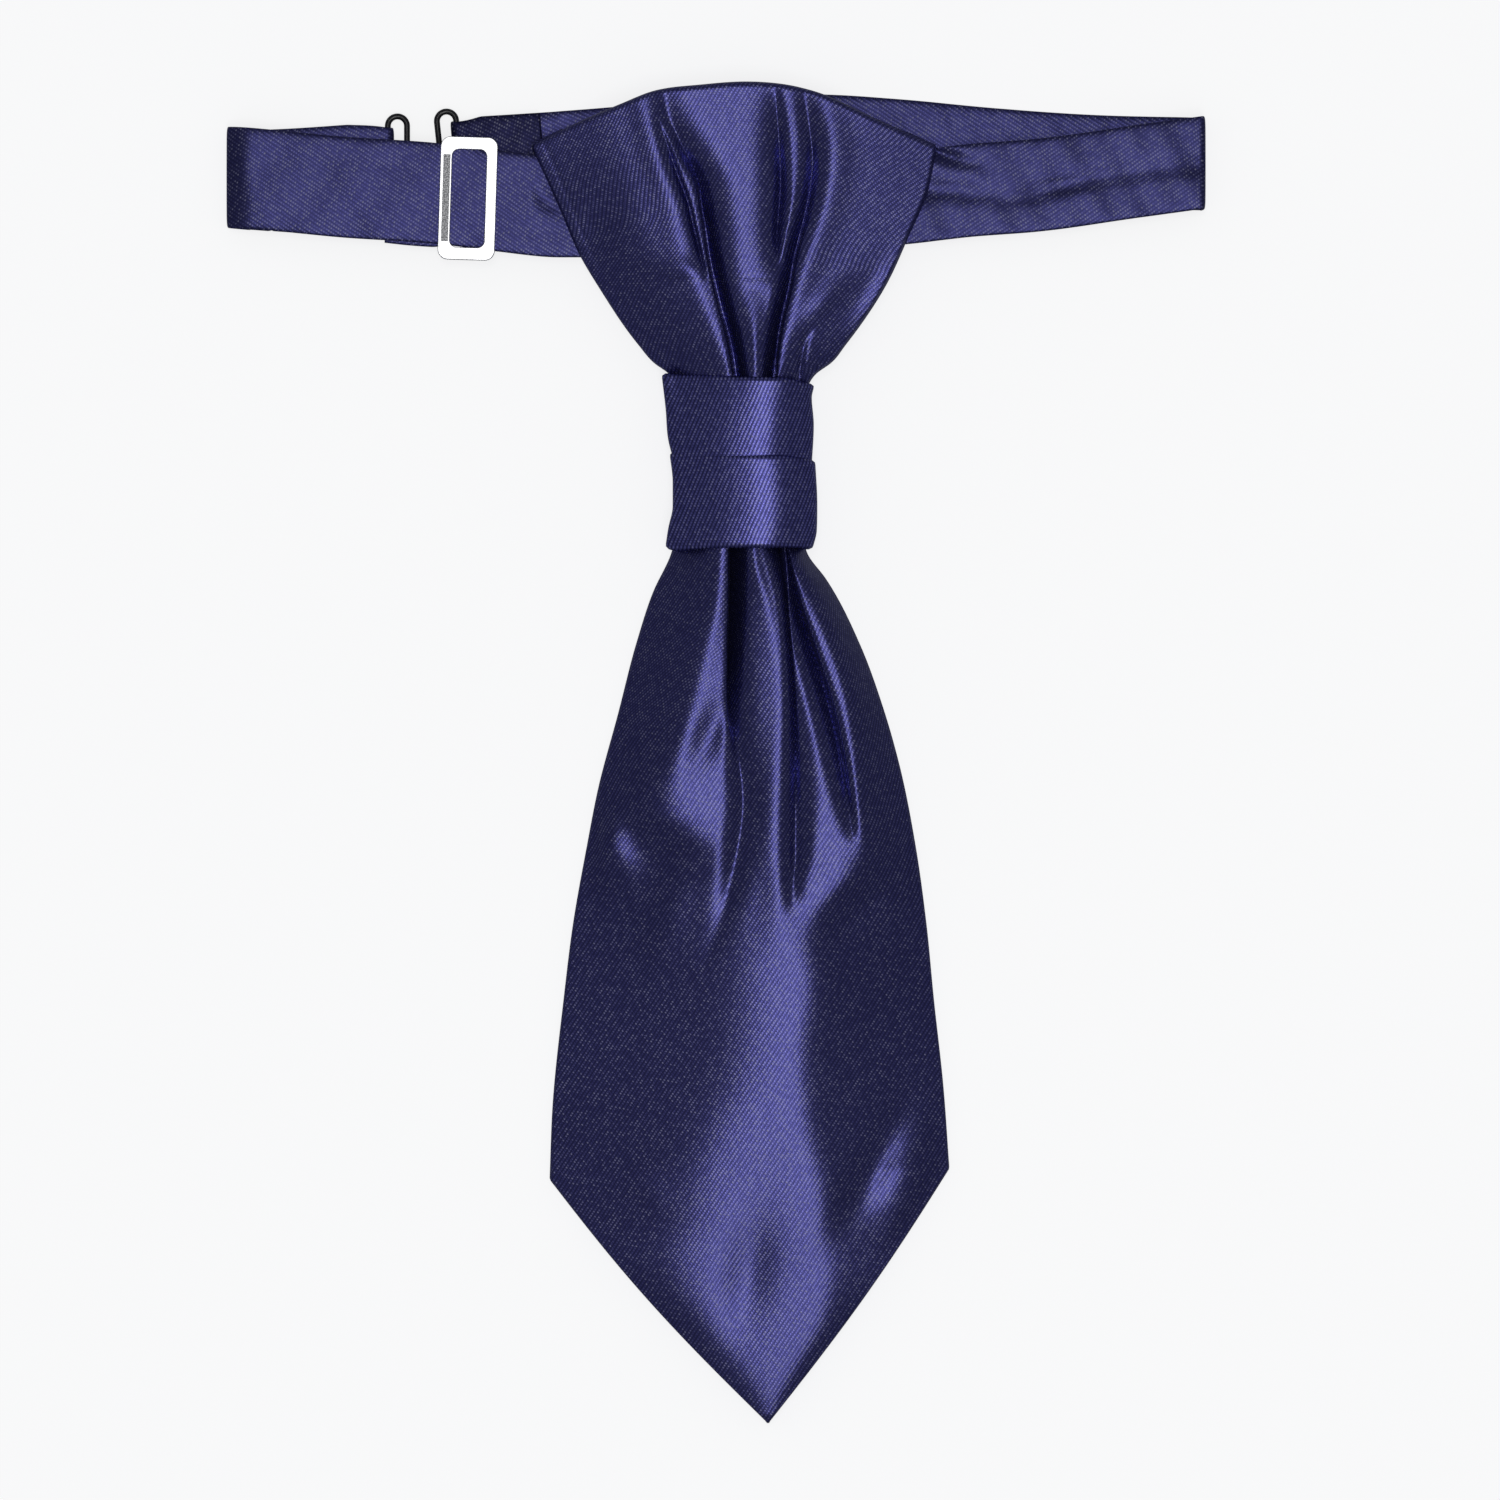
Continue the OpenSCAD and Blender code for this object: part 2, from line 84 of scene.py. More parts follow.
def box_mm(node):
    """Lowest and highest corner of a node of the frame, in millimetres."""
    low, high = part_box(node)
    return np.array(low) / MM, np.array(high) / MM


# %% [markdown]
# ## Smooth curves and cloth sheets
# Folds, edges and thicknesses all change smoothly along the cloth, so each is a short list of
# points with a smooth curve through them. A sheet is a grid of such points. A grid is the
# right start for cloth, because its rows and columns run as the threads do, and the same
# rows and columns carry the map that the weave is drawn on.

# %% Curves through points
def curve(points):
    """A smooth function through (place, value) points, level beyond the first and last.
    Between two points it never rises above or falls below both."""
    points = np.array(points, float)
    xs, ys = points[np.argsort(points[:, 0])].T
    slopes = np.gradient(ys, xs)
    steps = np.diff(ys) / np.diff(xs)
    before, after = np.concatenate([[steps[0]], steps]), np.concatenate([steps, [steps[-1]]])
    limit = 3 * np.minimum(np.abs(before), np.abs(after))
    slopes = np.where(before * after > 0, np.clip(slopes, -limit, limit), 0)

    def at(x):
        x = np.clip(np.asarray(x, float), xs[0], xs[-1])
        i = np.clip(np.searchsorted(xs, x, side="right") - 1, 0, len(xs) - 2)
        h = xs[i + 1] - xs[i]
        t = (x - xs[i]) / h
        rise = (3 - 2 * t) * t * t
        ease_out = t * (1 - t) ** 2
        ease_in = t * t * (t - 1)
        return ys[i] * (1 - rise) + ys[i + 1] * rise + h * (ease_out * slopes[i] + ease_in * slopes[i + 1])

    return at


def smoothstep(low, high, x):
    """0 below low, 1 above high, with a smooth rise between."""
    t = np.clip((x - low) / (high - low), 0, 1)
    return t * t * (3 - 2 * t)


# %% Folds and dents that shape a sheet
def fold(kind, path):
    """One fold along a sheet. path holds (y, x, width on the left, width on the right, height).
    A ridge is round. A furrow ends in a crease and leaves the cloth beside it flat. A trough
    has a soft bottom, and eases in from its sides."""
    path = np.array(path, float)
    parts = [curve(path[:, [0, k]]) for k in (1, 2, 3, 4)]

    def at(x, y):
        middle, left, right, height = (part(y) for part in parts)
        offset = x - middle
        width = np.where(offset < 0, left, right)
        if kind == "ridge":
            return height * np.exp(-((offset / width) ** 2))
        if kind == "furrow":
            return height * np.clip(1 - np.abs(offset) / width, 0, 1) ** 1.6
        away = np.sqrt(offset**2 + 0.5) - math.sqrt(0.5)
        return height * np.clip(1 - away / width, 0, 1) ** 2.6

    return at


def ramp(x, soft):
    """0 for negative x and x for positive x, with a rounded corner."""
    return soft * np.logaddexp(0, x / soft)


def dent(cx, cy, length, width, angle, height):
    """One soft bump or hollow, longer at the given angle in degrees."""
    c, s = math.cos(math.radians(angle)), math.sin(math.radians(angle))

    def at(x, y):
        along = ((x - cx) * c + (y - cy) * s) / length
        across = ((y - cy) * c - (x - cx) * s) / width
        return height * np.exp(-(along ** 2) - across ** 2)

    return at


def undercut(x, y, leans):
    """How far cloth is pushed sideways in a furrow, so that one ridge hangs over the crease.
    leans pairs a furrow with the push in millimetres at its crease."""
    total = np.zeros(np.shape(x))
    for path, push in leans:
        path = np.array(path, float)
        middle, left, right, height = (curve(path[:, [0, k]])(y) for k in (1, 2, 3, 4))
        offset = x - middle
        width = np.where(offset < 0, left, right)
        deep = np.clip(-height / 2.5, 0, 1)
        total = total + push * deep * np.clip(1 - np.abs(offset) / width, 0, 1)
    return total


def spread(count, ease=1.0):
    """Shares from 0 to 1, closer together at both ends."""
    t = np.linspace(0, 1, count)
    return t * (1 - ease) + ease * (1 - np.cos(np.pi * t)) / 2


def crowded(low, high, creases, counts):
    """Places from low to high, close together at each crease, so that creases stay sharp."""
    stops = [low] + list(creases) + [high]
    runs = [a + (b - a) * spread(n + 1, 0.8)[:-1] for a, b, n in zip(stops, stops[1:], counts)]
    return np.concatenate(runs + [[high]])


def relief(x, y, shapes):
    """Height of all the folds and dents of a sheet at the points x, y."""
    return sum(shape(x, y) for shape in shapes)


# %% Turn a grid of points into a mesh
WEAVE_MAP = "weave"


WEAVE_START_X = 5.2    # where the weave is counted from, across each sheet


def sheet_mesh(name, points, weave=None, tube=False, flip=False, sharp=None):
    """A mesh over rows and columns of points in millimetres. tube joins the last column to the first.
    weave holds each point's place on the cloth; without it, distances along the rows give it.
    sharp marks the points that lie on a crease, where the shading breaks."""
    points = np.asarray(points, float)
    rows, columns, _ = points.shape
    if weave is None:
        step = np.linalg.norm(np.diff(points, axis=1), axis=2)
        across = np.concatenate([np.zeros((rows, 1)), np.cumsum(step, axis=1)], axis=1)
        top = slice(columns // 6, columns - columns // 6)
        start = np.array([np.interp(WEAVE_START_X, row[top, 0], far[top]) for row,
                          far in zip(points, across)])
        across -= start[:, None]
        spine = points[:, columns // 2]
        run_on = np.concatenate([[0], np.cumsum(np.linalg.norm(np.diff(spine[:, 1:], axis=0), axis=1))])
        way = 1.0 if spine[-1, 1] >= spine[-2, 1] else -1.0
        along = spine[-1, 1] - way * (run_on[-1] - run_on)
        weave = np.dstack([across, np.broadcast_to(along[:, None], across.shape)])
    mesh = bpy.data.meshes.new(name)
    last = columns if tube else columns - 1
    faces, corners = [], []
    for r in range(rows - 1):
        for c in range(last):
            d = (c + 1) % columns
            quad = [r * columns + c, r * columns + d, (r + 1) * columns + d, (r + 1) * columns + c]
            place = [weave[r, c], weave[r, c + 1 if tube and c + 1 < weave.shape[1] else d]]
            place += [weave[r + 1, c + 1 if tube and c + 1 < weave.shape[1] else d], weave[r + 1, c]]
            if flip:
                quad.reverse()
                place.reverse()
            faces.append(quad)
            corners += place
    mesh.from_pydata([tuple(p * MM) for p in points.reshape(-1, 3)], [], faces)
    layer = mesh.uv_layers.new(name=WEAVE_MAP)
    layer.data.foreach_set("uv", (np.array(corners) * MM).astype(np.float32).ravel())
    mesh.polygons.foreach_set("use_smooth", [True] * len(faces))
    mesh.update()
    if sharp is not None:
        marked = np.asarray(sharp).ravel()
        for edge in mesh.edges:
            a, b = edge.vertices
            if marked[a] and marked[b] and abs(a - b) == columns:
                edge.use_edge_sharp = True
    piece = bpy.data.objects.new(name, mesh)
    bpy.context.collection.objects.link(piece)
    return piece


def on_crease(y, folds, columns, total):
    """Marks, for rows at y, the columns that follow a fold wherever that fold is deep enough."""
    marks = np.zeros((len(y), total), bool)
    for group, column in zip(folds, columns):
        depth = sum(curve([(one[0], one[4]) for one in path])(y) for kind, path in group if kind == "furrow")
        marks[:, column] = depth < -0.12
    return marks


def only(piece):
    """Select and activate one object, and nothing else."""
    if bpy.context.object and bpy.context.object.mode != "OBJECT":
        bpy.ops.object.mode_set(mode="OBJECT")
    bpy.ops.object.select_all(action="DESELECT")
    piece.select_set(True)
    bpy.context.view_layer.objects.active = piece


def apply_modifiers(piece):
    only(piece)
    for modifier in list(piece.modifiers):
        bpy.ops.object.modifier_apply(modifier=modifier.name)


def thicken(piece, thickness):
    """Give a sheet its thickness in millimetres, on the side that its faces turn away from."""
    solid = piece.modifiers.new("cloth thickness", "SOLIDIFY")
    solid.thickness = thickness * MM
    solid.offset = -1
    solid.use_even_offset = False
    apply_modifiers(piece)


# %% [markdown]
# ## The weave and the finishes
# The satin is a fine twill: rows of floating threads run up and to the right, less than a
# millimetre apart, and each float catches the light by itself. The twill is a node group, so
# that the blade, the fan, the knot and the strap share it with their own angle and strength.
# It reads the sheet's own weave map, so the lines follow the cloth into its folds.

# %% A node group for the twill weave
def socket(group, name, direction, kind="NodeSocketFloat", value=None):
    made = group.interface.new_socket(name=name, in_out=direction, socket_type=kind)
    if value is not None:
        made.default_value = value
    return made


class Wiring:
    """Adds nodes to a tree and links them in one line each."""

    def __init__(self, tree):
        self.tree = tree

    def node(self, kind, **settings):
        made = self.tree.nodes.new(kind)
        for key, value in settings.items():
            setattr(made, key, value)
        return made

    def put(self, target, value):
        if isinstance(value, bpy.types.NodeSocket):
            self.tree.links.new(value, target)
        else:
            target.default_value = value

    def math(self, operation, a, b=0.0, c=0.0, clamp=False):
        made = self.node("ShaderNodeMath", operation=operation, use_clamp=clamp)
        for target, value in zip(made.inputs, (a, b, c)):
            self.put(target, value)
        return made.outputs[0]

    def mix(self, share, a, b):
        made = self.node("ShaderNodeMix", data_type="RGBA")
        self.put(made.inputs["Factor"], share)
        self.put(made.inputs[6], a)
        self.put(made.inputs[7], b)
        return made.outputs[2]

    def noise(self, vector, scale, detail=2.0, roughness=0.5):
        made = self.node("ShaderNodeTexNoise")
        self.put(made.inputs["Vector"], vector)
        self.put(made.inputs["Scale"], scale)
        self.put(made.inputs["Detail"], detail)
        self.put(made.inputs["Roughness"], roughness)
        return made.outputs["Fac"]


def build_twill():
    group = bpy.data.node_groups.new("Twill weave", "ShaderNodeTree")
    socket(group, "Map", "INPUT", "NodeSocketVector")
    socket(group, "Angle", "INPUT", value=math.radians(56))
    socket(group, "Line pitch", "INPUT", value=0.74 * MM)
    socket(group, "Float pitch", "INPUT", value=0.52 * MM)
    for name in ("Height", "Tone", "Glint"):
        socket(group, name, "OUTPUT")
    w = Wiring(group)
    given = w.node("NodeGroupInput").outputs
    out = w.node("NodeGroupOutput").inputs
    split = w.node("ShaderNodeSeparateXYZ")
    w.put(split.inputs[0], given["Map"])
    u, v = split.outputs[0], split.outputs[1]
    wander = w.math("MULTIPLY", w.math("SUBTRACT", w.noise(given["Map"], 160.0), 0.5), 0.35 * MM)
    cos = w.math("COSINE", given["Angle"])
    sin = w.math("SINE", given["Angle"])
    across = w.math("SUBTRACT", w.math("MULTIPLY", u, sin), w.math("MULTIPLY", v, cos))
    across = w.math("ADD", across, wander)
    along = w.math("ADD", w.math("MULTIPLY", u, cos), w.math("MULTIPLY", v, sin))
    lines = w.math("DIVIDE", across, given["Line pitch"])
    stagger = w.math("MULTIPLY", w.math("FLOOR", lines), 0.37)
    floats = w.math("ADD", w.math("DIVIDE", along, given["Float pitch"]), stagger)
    full = 2 * math.pi

    def wave(phase):
        return w.math("MULTIPLY_ADD", w.math("SINE", w.math("MULTIPLY", phase, full)), 0.5, 0.5)

    line = wave(lines)
    bead = wave(floats)
    dots = w.math("MULTIPLY", line, bead)
    speck = w.node("ShaderNodeTexWhiteNoise", noise_dimensions="2D")
    cell = w.node("ShaderNodeCombineXYZ")
    w.put(cell.inputs[0], w.math("FLOOR", lines))
    w.put(cell.inputs[1], w.math("FLOOR", floats))
    w.put(speck.inputs["Vector"], cell.outputs[0])
    uneven = w.math("MULTIPLY_ADD", speck.outputs["Value"], 0.7, 0.65)
    tone = w.math("MULTIPLY", w.math("MULTIPLY_ADD", dots, 0.65, w.math("MULTIPLY", line, 0.35)), uneven)
    height = w.math("MULTIPLY", line, w.math("MULTIPLY_ADD", bead, 0.5, 0.5))
    # a few bright floats, which the satin paints pale: painted glints
    rare = w.math("POWER", speck.outputs["Value"], 2.5)
    glint = w.math("MULTIPLY", w.math("POWER", dots, 2.0), rare)
    w.put(out["Height"], height)
    w.put(out["Tone"], tone)
    w.put(out["Glint"], glint)
    return group


# %% A node group for the uneven tone of real cloth
def build_mottle():
    group = bpy.data.node_groups.new("Cloth mottle", "ShaderNodeTree")
    socket(group, "Map", "INPUT", "NodeSocketVector")
    socket(group, "Blotch scale", "INPUT", value=90.0)
    socket(group, "Tone", "OUTPUT")
    w = Wiring(group)
    given = w.node("NodeGroupInput").outputs
    out = w.node("NodeGroupOutput").inputs
    broad = w.noise(given["Map"], given["Blotch scale"], detail=3.0)
    fine = w.noise(given["Map"], 1400.0, detail=1.0)
    tone = w.math("ADD", w.math("MULTIPLY", broad, 0.6), w.math("MULTIPLY", fine, 0.4))
    w.put(out["Tone"], tone)
    return group


twill_group = build_twill()
mottle_group = build_mottle()


# %% Finishes for cloth
def fresh_material(name):
    material = bpy.data.materials.new(name)
    material.use_nodes = True
    material.node_tree.nodes.clear()
    w = Wiring(material.node_tree)
    shader = w.node("ShaderNodeBsdfPrincipled")
    out = w.node("ShaderNodeOutputMaterial")
    w.put(out.inputs["Surface"], shader.outputs[0])
    return material, w, shader


def scaled(color, share):
    return tuple(channel * share for channel in color) + (1.0,)


def satin(name, color, angle, contrast=0.5, gloss=0.26, relief_mm=0.03):
    """Twill satin: color is the thread's, made lighter or darker for some pieces as painted light and shade;
    angle is the twill's in degrees, gloss is its roughness.
    """
    material, w, shader = fresh_material(name)
    place = w.node("ShaderNodeUVMap", uv_map=WEAVE_MAP).outputs[0]
    twill = w.node("ShaderNodeGroup", node_tree=twill_group)
    w.put(twill.inputs["Map"], place)
    w.put(twill.inputs["Angle"], math.radians(angle))
    mottle = w.node("ShaderNodeGroup", node_tree=mottle_group)
    w.put(mottle.inputs["Map"], place)
    low, high = scaled(color, 1 - contrast), scaled(color, 1 + contrast)
    base = w.mix(twill.outputs["Tone"], low, high)
    # painted glints: the rare bright floats are painted a pale blue
    base = w.mix(twill.outputs["Glint"], base, scaled((0.62, 0.62, 0.78), 1.0))
    tone = w.mix(w.math("MULTIPLY_ADD", mottle.outputs["Tone"], 0.5, 0.25), (0.8, 0.8, 0.8, 1),
                 (1.2, 1.2, 1.2, 1))
    tinted = w.node("ShaderNodeMix", data_type="RGBA", blend_type="MULTIPLY")
    w.put(tinted.inputs["Factor"], 1.0)
    w.put(tinted.inputs[6], base)
    w.put(tinted.inputs[7], tone)
    w.put(shader.inputs["Base Color"], tinted.outputs[2])
    rough = w.math("MULTIPLY_ADD", twill.outputs["Tone"], -0.06, gloss + 0.03)
    rough = w.math("MULTIPLY_ADD", twill.outputs["Glint"], 0.4, rough)
    w.put(shader.inputs["Roughness"], rough)
    shader.inputs["Metallic"].default_value = 0.8
    shader.inputs["Specular IOR Level"].default_value = 0.1
    shader.inputs["Sheen Weight"].default_value = 0.03
    shader.inputs["Sheen Roughness"].default_value = 0.4
    shader.inputs["Sheen Tint"].default_value = (0.5, 0.5, 1.0, 1.0)
    bump = w.node("ShaderNodeBump")
    bump.inputs["Strength"].default_value = 0.6
    bump.inputs["Distance"].default_value = relief_mm * MM
    w.put(bump.inputs["Height"], twill.outputs["Height"])
    w.put(shader.inputs["Normal"], bump.outputs[0])
    return material


def plain_weave(name, color, pitch=0.45, contrast=0.25, roughness=0.7, metallic=0.0):
    """A plain over-and-under weave, for linings, tapes and interlinings."""
    material, w, shader = fresh_material(name)
    place = w.node("ShaderNodeUVMap", uv_map=WEAVE_MAP).outputs[0]
    split = w.node("ShaderNodeSeparateXYZ")
    w.put(split.inputs[0], place)
    turn = math.pi / (pitch * MM)
    over = w.math("SINE", w.math("MULTIPLY", split.outputs[0], turn))
    under = w.math("SINE", w.math("MULTIPLY", split.outputs[1], turn))
    check = w.math("MULTIPLY_ADD", w.math("MULTIPLY", over, under), 0.5, 0.5)
    mottle = w.node("ShaderNodeGroup", node_tree=mottle_group)
    w.put(mottle.inputs["Map"], place)
    share = w.math("ADD", w.math("MULTIPLY", check, 0.6), w.math("MULTIPLY", mottle.outputs["Tone"], 0.4))
    w.put(shader.inputs["Base Color"], w.mix(share, scaled(color, 1 - contrast), scaled(color, 1 + contrast)))
    w.put(shader.inputs["Roughness"], w.math("MULTIPLY_ADD", check, -0.1, roughness + 0.05))
    shader.inputs["Metallic"].default_value = metallic
    shader.inputs["Specular IOR Level"].default_value = 0.25
    bump = w.node("ShaderNodeBump")
    bump.inputs["Strength"].default_value = 0.5
    bump.inputs["Distance"].default_value = 0.05 * MM
    w.put(bump.inputs["Height"], check)
    w.put(shader.inputs["Normal"], bump.outputs[0])
    return material


NAVY = (0.125, 0.125, 0.42)
# the blade, knot and strap use the fan's navy made lighter or darker: painted light and shade, with the knot
# painted lighter and the blade and strap painted darker
blade_satin = satin("Navy satin, blade", tuple(0.92 * channel for channel in NAVY), 56)
fan_satin = satin("Navy satin, fan", NAVY, 58)
knot_satin = satin("Navy satin, knot band", tuple(1.42 * channel for channel in NAVY), 66, contrast=0.7,
                   gloss=0.28)
STRAP_SHADED_NAVY = tuple(0.66 * channel for channel in NAVY)
strap_satin = satin("Navy satin, strap", STRAP_SHADED_NAVY, 60, contrast=0.35, gloss=0.34)
# a rougher copy of the strap satin, painted much darker: painted shade on the end turned over the hook
shaded_strap_satin = satin("Navy satin, strap in painted shade", tuple(0.3 * channel for channel in NAVY), 120,
                      contrast=0.3, gloss=0.42)
lining_cloth = plain_weave("Navy lining", (0.03, 0.03, 0.10), metallic=0.15, roughness=0.5)
felt_cloth = plain_weave("Wool interlining", (0.70, 0.68, 0.62), pitch=1.1, contrast=0.12, roughness=0.9)
tape_cloth = plain_weave("Stiffening tape", (0.72, 0.70, 0.66), pitch=0.6, contrast=0.12, roughness=0.85)


# %% [markdown]
# ## Thread
# Sewing thread is two or three strands twisted together. At this size the twist shows as
# slanted bands along the thread; the finish is a fine noise in its colour, roughness and bumps.

# %% Finish for sewing thread
def thread_finish(name, color):
    material, w, shader = fresh_material(name)
    place = w.node("ShaderNodeTexCoord").outputs["Object"]
    grain = w.noise(place, 9000.0, detail=1.0)
    w.put(shader.inputs["Base Color"], w.mix(grain, scaled(color, 0.6), scaled(color, 1.4)))
    w.put(shader.inputs["Roughness"], w.math("MULTIPLY_ADD", grain, 0.2, 0.4))
    bump = w.node("ShaderNodeBump")
    bump.inputs["Strength"].default_value = 0.5
    bump.inputs["Distance"].default_value = 0.04 * MM
    w.put(bump.inputs["Height"], grain)
    w.put(shader.inputs["Normal"], bump.outputs[0])
    return material


navy_thread = thread_finish("Navy thread", (0.07, 0.07, 0.20))
white_thread = thread_finish("White thread", (0.75, 0.73, 0.70))


# %% A short stitch, copied wherever cloth is sewn
def stitches(name, spots, thickness=0.28):
    """One mesh of separate stitches. spots holds (start, end, which way is out) in millimetres."""
    mesh = bpy.data.meshes.new(name)
    form = bmesh.new()
    sides, rings = 6, 5
    for start, end, out in spots:
        start, end, out = (Vector(v) for v in (start, end, out))
        run = end - start
        side = run.cross(out).normalized()
        previous = None
        first = form.verts.new((start - out * thickness * 0.4) * MM)
        for k in range(1, rings + 1):
            t = k / (rings + 1)
            lift = math.sin(math.pi * t) * thickness * 0.75 - thickness * 0.35
            radius = thickness / 2 * math.sin(math.pi * t) ** 0.4
            middle = start + run * t + out * lift
            ring = [
                form.verts.new((middle + radius * (math.cos(a) * side + math.sin(a) * out)) * MM)
                for a in (2 * math.pi * s / sides for s in range(sides))
            ]
            for s in range(sides):
                pair = (ring[s], ring[(s + 1) % sides])
                if previous is None:
                    form.faces.new((first, pair[1], pair[0]))
                else:
                    form.faces.new((previous[s], previous[(s + 1) % sides], pair[1], pair[0]))
            previous = ring
        last = form.verts.new((end - out * thickness * 0.4) * MM)
        for s in range(sides):
            form.faces.new((previous[s], previous[(s + 1) % sides], last))
    bmesh.ops.recalc_face_normals(form, faces=form.faces)
    for face in form.faces:
        face.smooth = True
    form.to_mesh(mesh)
    form.free()
    piece = bpy.data.objects.new(name, mesh)
    bpy.context.collection.objects.link(piece)
    return piece


# %% Say what each piece is
def finish_piece(piece, material, body=None, replaces=()):
    piece.data.materials.clear()
    piece.data.materials.append(material)
    if body:
        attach(piece, body)
    if replaces:
        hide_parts(*replaces)
    print(piece.name, "has", len(piece.data.polygons), "faces")
    return piece


# %% [markdown]
# ## The blade
# The blade is satin over wool, gathered into the knot at its top. The gathers come out of
# the knot as three sharp ridges with deep furrows between them, spread apart, and fade by
# the middle of the blade. Cloth simulation makes such folds at random, and here each fold has
# its own place, so the folds are drawn as curves down the blade and added to a soft crown.

# %% Outline of the blade
blade_low, blade_high = box_mm("blade_front")
blade_top = blade_high[1]
shoulder_y = blade_top - 124.0
blade_tip = (5.4, blade_low[1] + 0.3)
left_edge = curve([
    (blade_top + 8, -12.6), (blade_top, -14.0), (-25.8, -17.6), (-35.8, -20.9), (-50.4, -24.7),
    (-65.0, -28.6), (-77.2, -31.0), (-92.4, -33.7), (-107.6, -35.6), (-128.8, -37.8),
    (shoulder_y - 1.6, -38.4),
])
right_edge = curve([
    (blade_top + 8, 12.2), (blade_top, 13.3), (-23.2, 17.0), (-36.7, 24.0), (-48.4, 28.3), (-60.2, 31.7),
    (-76.6, 35.0), (-92.4, 37.2), (-107.6, 38.7), (-125.0, 40.6), (shoulder_y + 0.6, 41.8),
])


def blade_sides(y):
    """Left and right edge of the blade at y, in millimetres."""
    shoulder_left, shoulder_right = shoulder_y - 1.6, shoulder_y + 0.6
    t = np.clip((shoulder_left - y) / (shoulder_left - blade_tip[1]), 0, 1)
    s = np.clip((shoulder_right - y) / (shoulder_right - blade_tip[1]), 0, 1)
    tip_half = 0.35
    bow_left = 1.9 * np.sin(np.pi * t)
    bow_right = 1.3 * np.sin(np.pi * s)
    low_left = left_edge(shoulder_left) * (1 - t) + (blade_tip[0] - tip_half) * t - bow_left
    low_right = right_edge(shoulder_right) * (1 - s) + (blade_tip[0] + tip_half) * s + bow_right
    return (
        np.where(y > shoulder_left, left_edge(y), low_left),
        np.where(y > shoulder_right, right_edge(y), low_right),
    )


